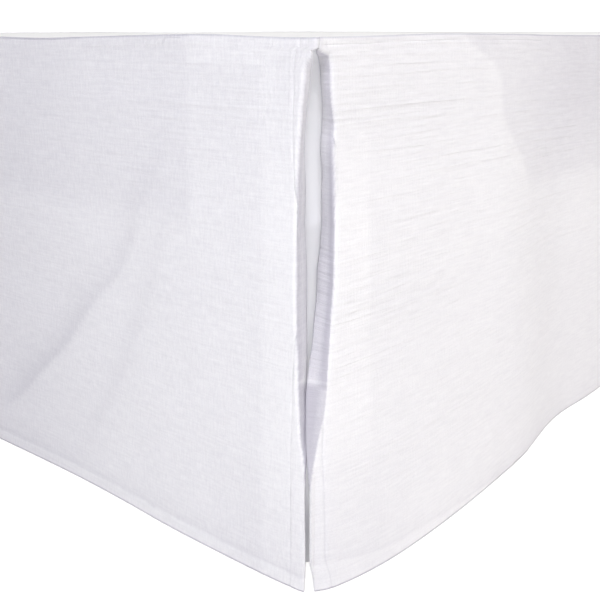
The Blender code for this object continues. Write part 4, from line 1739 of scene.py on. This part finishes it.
def stitch_tree():
    """Geometry Nodes that lay a stitch at each pitch along every seam line."""
    tree = bpy.data.node_groups.new("Stitch Row", "GeometryNodeTree")
    sockets = tree.interface
    sockets.new_socket("Seams", in_out="INPUT", socket_type="NodeSocketGeometry")
    for name in ("Pitch", "Stitch Length", "Thread"):
        socket = sockets.new_socket(name, in_out="INPUT", socket_type="NodeSocketFloat")
        socket.subtype = "DISTANCE"
    sockets.new_socket("Seed", in_out="INPUT", socket_type="NodeSocketInt")
    sockets.new_socket("Thread Material", in_out="INPUT", socket_type="NodeSocketMaterial")
    sockets.new_socket("Stitches", in_out="OUTPUT", socket_type="NodeSocketGeometry")
    given = add_node(tree, "NodeGroupInput").outputs
    lines = add_node(tree, "GeometryNodeMeshToCurve", {"Mesh": given["Seams"]}).outputs["Curve"]
    places = add_node(
        tree, "GeometryNodeCurveToPoints", {"Curve": lines, "Length": given["Pitch"]}, mode="LENGTH").outputs
    ball = add_node(
        tree, "GeometryNodeMeshUVSphere", {"Segments": 6, "Rings": 4, "Radius": 0.5}).outputs["Mesh"]
    size = add_node(
        tree, "ShaderNodeCombineXYZ",
        {"X": given["Stitch Length"], "Y": given["Thread"], "Z": given["Thread"]}).outputs["Vector"]
    stitch = add_node(tree, "GeometryNodeTransform", {"Geometry": ball, "Scale": size}).outputs["Geometry"]
    smooth = add_node(tree, "GeometryNodeSetShadeSmooth", {"Geometry": stitch}).outputs["Geometry"]
    turn = add_node(
        tree, "FunctionNodeAlignRotationToVector", {"Vector": places["Tangent"]},
        axis="X").outputs["Rotation"]
    uneven = add_node(
        tree, "FunctionNodeRandomValue", {"Min": STITCH_LEAST, "Max": STITCH_MOST, "Seed": given["Seed"]},
        data_type="FLOAT_VECTOR").outputs["Value"]
    laid = add_node(
        tree, "GeometryNodeInstanceOnPoints",
        {"Points": places["Points"], "Instance": smooth, "Rotation": turn,
         "Scale": uneven}).outputs["Instances"]
    real = add_node(tree, "GeometryNodeRealizeInstances", {"Geometry": laid}).outputs["Geometry"]
    threaded = add_node(
        tree, "GeometryNodeSetMaterial",
        {"Geometry": real, "Material": given["Thread Material"]}).outputs["Geometry"]
    add_node(tree, "NodeGroupOutput", {"Stitches": threaded})
    return tree


def socket_of(tree, name):
    """The identifier of a tree's named input."""
    return next(
        item.identifier for item in tree.interface.items_tree
        if item.name == name and getattr(item, "in_out", "") == "INPUT")


def sewn(name, lines, tree, material, cloth):
    """A plain mesh of all the stitches along some seam lines."""
    guide = bpy.data.objects.new(name + "_guide", seam_mesh(name + "_guide", lines))
    bpy.context.scene.collection.objects.link(guide)
    modifier = guide.modifiers.new("Stitches", "NODES")
    modifier.node_group = tree
    given = {
        "Pitch": cloth.stitch_pitch, "Stitch Length": cloth.stitch_length, "Thread": cloth.thread,
        "Seed": cloth.seed, "Thread Material": material}
    for label, value in given.items():
        modifier[socket_of(tree, label)] = value
    evaluated = guide.evaluated_get(bpy.context.evaluated_depsgraph_get())
    mesh = bpy.data.meshes.new_from_object(evaluated)
    mesh.name = name
    guide_mesh = guide.data
    bpy.data.objects.remove(guide)
    bpy.data.meshes.remove(guide_mesh)
    if not mesh.polygons:
        raise RuntimeError(f"{name}: the stitch tree made nothing")
    return add_piece(mesh, None)


def insert_seam(cloth, side):
    """The line of stitching on an insert's hem."""
    reach = INSERT_REACH - SIDE_SEAM_STEP
    across = np.arange(-reach, reach, SIDE_SEAM_STEP)
    height = np.full_like(across, INSERT_FOOT + cloth.hem)
    return on_sheet(insert_face(cloth, side), across, height, THREAD_LIFT * cloth.thread)


def drop_seams(drop, cloth):
    """Lines of stitching on a drop: both side hems and the floor hem."""
    draped = drape(drop, cloth)
    lift = THREAD_LIFT * cloth.thread
    up = np.arange(SIDE_SEAM_FOOT, SIDE_SEAM_TOP, SIDE_SEAM_STEP)
    inside = np.arange(cloth.hem, drop.length - cloth.hem, FLOOR_SEAM_STEP)
    foot = through(drop.hem, inside, "height")
    return (
        on_sheet(draped, near_hem(drop, cloth, up), up, lift),
        on_sheet(draped, np.full_like(up, drop.length - cloth.hem), up, lift),
        on_sheet(draped, inside, foot, lift),
    )


# --------------------------------------------------------------------------------------------------
# Stage


def add_floor(scene, stage):
    """A wide pale floor, lighter to the camera than to the cloth."""
    floor = bpy.data.meshes.new("floor")
    grid = bmesh.new()
    bmesh.ops.create_grid(grid, x_segments=2, y_segments=2, size=FLOOR_REACH)
    grid.to_mesh(floor)
    grid.free()
    material, tree, shader = new_material("Pale floor")
    seen = add_node(tree, "ShaderNodeLightPath").outputs["Is Camera Ray"]
    set_inputs(tree, shader, {
        "Base Color": (*stage.floor, 1.0),
        "Roughness": 0.9,
        "Specular IOR Level": 0.1,
        "Emission Color": WHITE,
        "Emission Strength": spread(tree, seen, stage.floor_glow, FLOOR_SEEN),
    })
    floor.materials.append(material)
    ground = bpy.data.objects.new("floor", floor)
    scene.collection.objects.link(ground)
    return ground


def add_sky(scene, stage):
    """Light from all round, which the camera sees as plain white."""
    world = bpy.data.worlds.new("Studio")
    world.use_nodes = True
    tree = world.node_tree
    background = tree.nodes["Background"]
    set_inputs(tree, background, {"Color": (*stage.sky, 1.0), "Strength": stage.sky_strength})
    white = add_node(tree, "ShaderNodeBackground", {"Color": WHITE, "Strength": SKY_SEEN})
    seen = add_node(tree, "ShaderNodeLightPath").outputs["Is Camera Ray"]
    mixed = add_node(
        tree, "ShaderNodeMixShader", {"Fac": seen, 1: background.outputs[0], 2: white.outputs[0]})
    set_inputs(tree, tree.nodes["World Output"], {"Surface": mixed.outputs[0]})
    scene.world = world


def add_lamps(scene, stage, corner):
    """The soft lamps, each aimed at its own place."""
    for soft in LAMPS:
        lamp = bpy.data.lights.new(soft.name, "AREA")
        lamp.shape = "DISK"
        lamp.size = soft.size
        lamp.energy = soft.power * stage.lamp_level
        lamp.color = soft.colour
        light = bpy.data.objects.new(soft.name, lamp)
        light.location = corner + Vector(soft.place)
        aim = corner + Vector(soft.aim) - light.location
        light.rotation_euler = aim.to_track_quat("-Z", "Y").to_euler()
        scene.collection.objects.link(light)


def add_camera(scene, corner):
    """The camera, low in front of the near corner."""
    lens = bpy.data.cameras.new("camera")
    lens.lens = CAMERA_LENS
    lens.sensor_width = CAMERA_SENSOR
    lens.clip_start = CAMERA_CLIP
    camera = bpy.data.objects.new("camera", lens)
    camera.location = corner + CAMERA_OUT
    level = Vector((-math.sin(CAMERA_TURN), math.cos(CAMERA_TURN), 0.0))
    looking = level * math.cos(CAMERA_PITCH) - Vector((0.0, 0.0, math.sin(CAMERA_PITCH)))
    camera.rotation_euler = looking.to_track_quat("-Z", "Y").to_euler()
    scene.collection.objects.link(camera)
    scene.camera = camera
    scene.view_settings.view_transform = "Standard"


# --------------------------------------------------------------------------------------------------
# Operators


class BEDSKIRT_OT_add_drops(bpy.types.Operator):
    """Hang the three gauze drops"""

    bl_idname = "bed_skirt.add_drops"
    bl_label = "Hang Drops"

    def execute(self, context):
        cloth = context.scene.bed_skirt_cloth
        gauze = gauze_material(context.scene.bed_skirt_colours)
        for drop in DROPS:
            draped = drape(drop, cloth)
            # shade is the gauze's painted shade, and lit is where its ridge glows with painted light
            layers = {
                "shade": shade_of(drop, cloth, draped.flat, draped.height),
                "crinkled": crinkled(drop, draped.flat, draped.height, cloth.seed),
                "warped": np.full_like(draped.flat, drop.look.warp),
                "puckered": puckered(drop, draped.flat, draped.height),
                "lit": drop.look.ridge_light * smooth_step(draped.height, *RIDGE_LIGHT_RISE),
            }
            mesh = sheet_mesh(drop.name, draped, (*drop.outward, 0), layers)
            piece = add_piece(mesh, gauze)
            thicken(piece, DROP_CLOTH)
            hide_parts(drop.node)
        return {"FINISHED"}


class BEDSKIRT_OT_add_inserts(bpy.types.Operator):
    """Hang the smooth insert behind each split"""

    bl_idname = "bed_skirt.add_inserts"
    bl_label = "Hang Inserts"

    def execute(self, context):
        cloth = context.scene.bed_skirt_cloth
        colours = context.scene.bed_skirt_colours
        cotton = plain_cloth_material(
            "Smooth insert cotton", colours.insert, *INSERT_WEAVE, colours.insert_glow)
        for insert in INSERTS:
            draped = insert_face(cloth, insert.side)
            # lit is how strongly each height of the insert glows with painted light
            layers = {"lit": through(INSERT_LIGHT, draped.height, "share")}
            mesh = sheet_mesh(insert.name, draped, (insert.side, -1, 0), layers)
            piece = add_piece(mesh, cotton)
            thicken(piece, INSERT_CLOTH)
            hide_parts(insert.node)
        return {"FINISHED"}


class BEDSKIRT_OT_add_deck(bpy.types.Operator):
    """Lay the deck's plain cloth on the base"""

    bl_idname = "bed_skirt.add_deck"
    bl_label = "Lay Deck"

    def execute(self, context):
        draped = deck_face()
        colours = context.scene.bed_skirt_colours
        material = plain_cloth_material("Deck cloth", colours.deck, *DECK_WEAVE, colours.deck_glow)
        # The whole deck glows a little with painted light
        layers = {"lit": np.ones_like(draped.flat)}
        piece = add_piece(sheet_mesh("deck_sheet", draped, (0, 0, 1), layers), material)
        thicken(piece, DECK_CLOTH)
        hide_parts("deck")
        return {"FINISHED"}


class BEDSKIRT_OT_add_base_cover(bpy.types.Operator):
    """Cover the low base"""

    bl_idname = "bed_skirt.add_base_cover"
    bl_label = "Cover Base"

    def execute(self, context):
        colour = context.scene.bed_skirt_colours.cover
        material = plain_cloth_material("Woven base cover", colour, *COVER_WEAVE)
        piece = add_piece(base_mesh(context.scene.bed_skirt_cloth), material)
        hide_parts("foundation")
        return {"FINISHED"}


class BEDSKIRT_OT_add_legs(bpy.types.Operator):
    """Set the nine turned legs under the base"""

    bl_idname = "bed_skirt.add_legs"
    bl_label = "Set Legs"

    def execute(self, context):
        nodes = sorted(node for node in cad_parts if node.startswith("leg_"))
        places = []
        for node in nodes:
            low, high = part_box(node)
            places.append(((low.x + high.x) / 2, (low.y + high.y) / 2))
        legs = add_piece(legs_mesh(places), wood_material(context.scene.bed_skirt_colours))
        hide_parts(*nodes)
        return {"FINISHED"}


class BEDSKIRT_OT_add_stitching(bpy.types.Operator):
    """Sew the hems of the drops and the inserts"""

    bl_idname = "bed_skirt.add_stitching"
    bl_label = "Sew Hems"

    def execute(self, context):
        cloth = context.scene.bed_skirt_cloth
        tree = stitch_tree()
        thread = thread_material(context.scene.bed_skirt_colours)
        for drop in DROPS:
            sewn(drop.name + "_stitches", drop_seams(drop, cloth), tree, thread, cloth)
        for insert in INSERTS:
            seam = insert_seam(cloth, insert.side)
            sewn(insert.name + "_stitches", (seam,), tree, thread, cloth)
        return {"FINISHED"}


class BEDSKIRT_OT_add_stage(bpy.types.Operator):
    """Set the pale floor, the soft light and the camera"""

    bl_idname = "bed_skirt.add_stage"
    bl_label = "Set Stage"

    def execute(self, context):
        stage = context.scene.bed_skirt_stage
        corner = Vector((*NEAR_CORNER, 0.0))
        ground = add_floor(context.scene, stage)
        add_sky(context.scene, stage)
        add_lamps(context.scene, stage, corner)
        add_camera(context.scene, corner)
        return {"FINISHED"}


class BEDSKIRT_PT_sidebar(bpy.types.Panel):
    """Sizes, colours and steps of the bed skirt"""

    bl_label = "Bed Skirt"
    bl_idname = "BEDSKIRT_PT_sidebar"
    bl_space_type = "VIEW_3D"
    bl_region_type = "UI"
    bl_category = "Bed Skirt"

    def draw(self, context):
        scene = context.scene
        for group in (scene.bed_skirt_cloth, scene.bed_skirt_colours, scene.bed_skirt_stage):
            box = self.layout.box()
            for name in group.__annotations__:
                box.prop(group, name)
        for step in STEPS:
            self.layout.operator(step.bl_idname)


STEPS = (
    BEDSKIRT_OT_add_stage,
    BEDSKIRT_OT_add_drops,
    BEDSKIRT_OT_add_inserts,
    BEDSKIRT_OT_add_deck,
    BEDSKIRT_OT_add_base_cover,
    BEDSKIRT_OT_add_legs,
    BEDSKIRT_OT_add_stitching,
)
CLASSES = (BedSkirtCloth, BedSkirtColours, BedSkirtStage, *STEPS, BEDSKIRT_PT_sidebar)


def register():
    """Registers the classes and the scene's settings."""
    for kind in CLASSES:
        bpy.utils.register_class(kind)
    bpy.types.Scene.bed_skirt_cloth = PointerProperty(type=BedSkirtCloth)
    bpy.types.Scene.bed_skirt_colours = PointerProperty(type=BedSkirtColours)
    bpy.types.Scene.bed_skirt_stage = PointerProperty(type=BedSkirtStage)


def unregister():
    """Removes what register added."""
    del bpy.types.Scene.bed_skirt_stage
    del bpy.types.Scene.bed_skirt_colours
    del bpy.types.Scene.bed_skirt_cloth
    for kind in reversed(CLASSES):
        bpy.utils.unregister_class(kind)


def main():
    """Builds the stage and every piece."""
    register()
    bpy.ops.bed_skirt.add_stage()
    bpy.ops.bed_skirt.add_drops()
    bpy.ops.bed_skirt.add_inserts()
    bpy.ops.bed_skirt.add_deck()
    bpy.ops.bed_skirt.add_base_cover()
    bpy.ops.bed_skirt.add_legs()
    bpy.ops.bed_skirt.add_stitching()


if __name__ == "__main__":
    main()
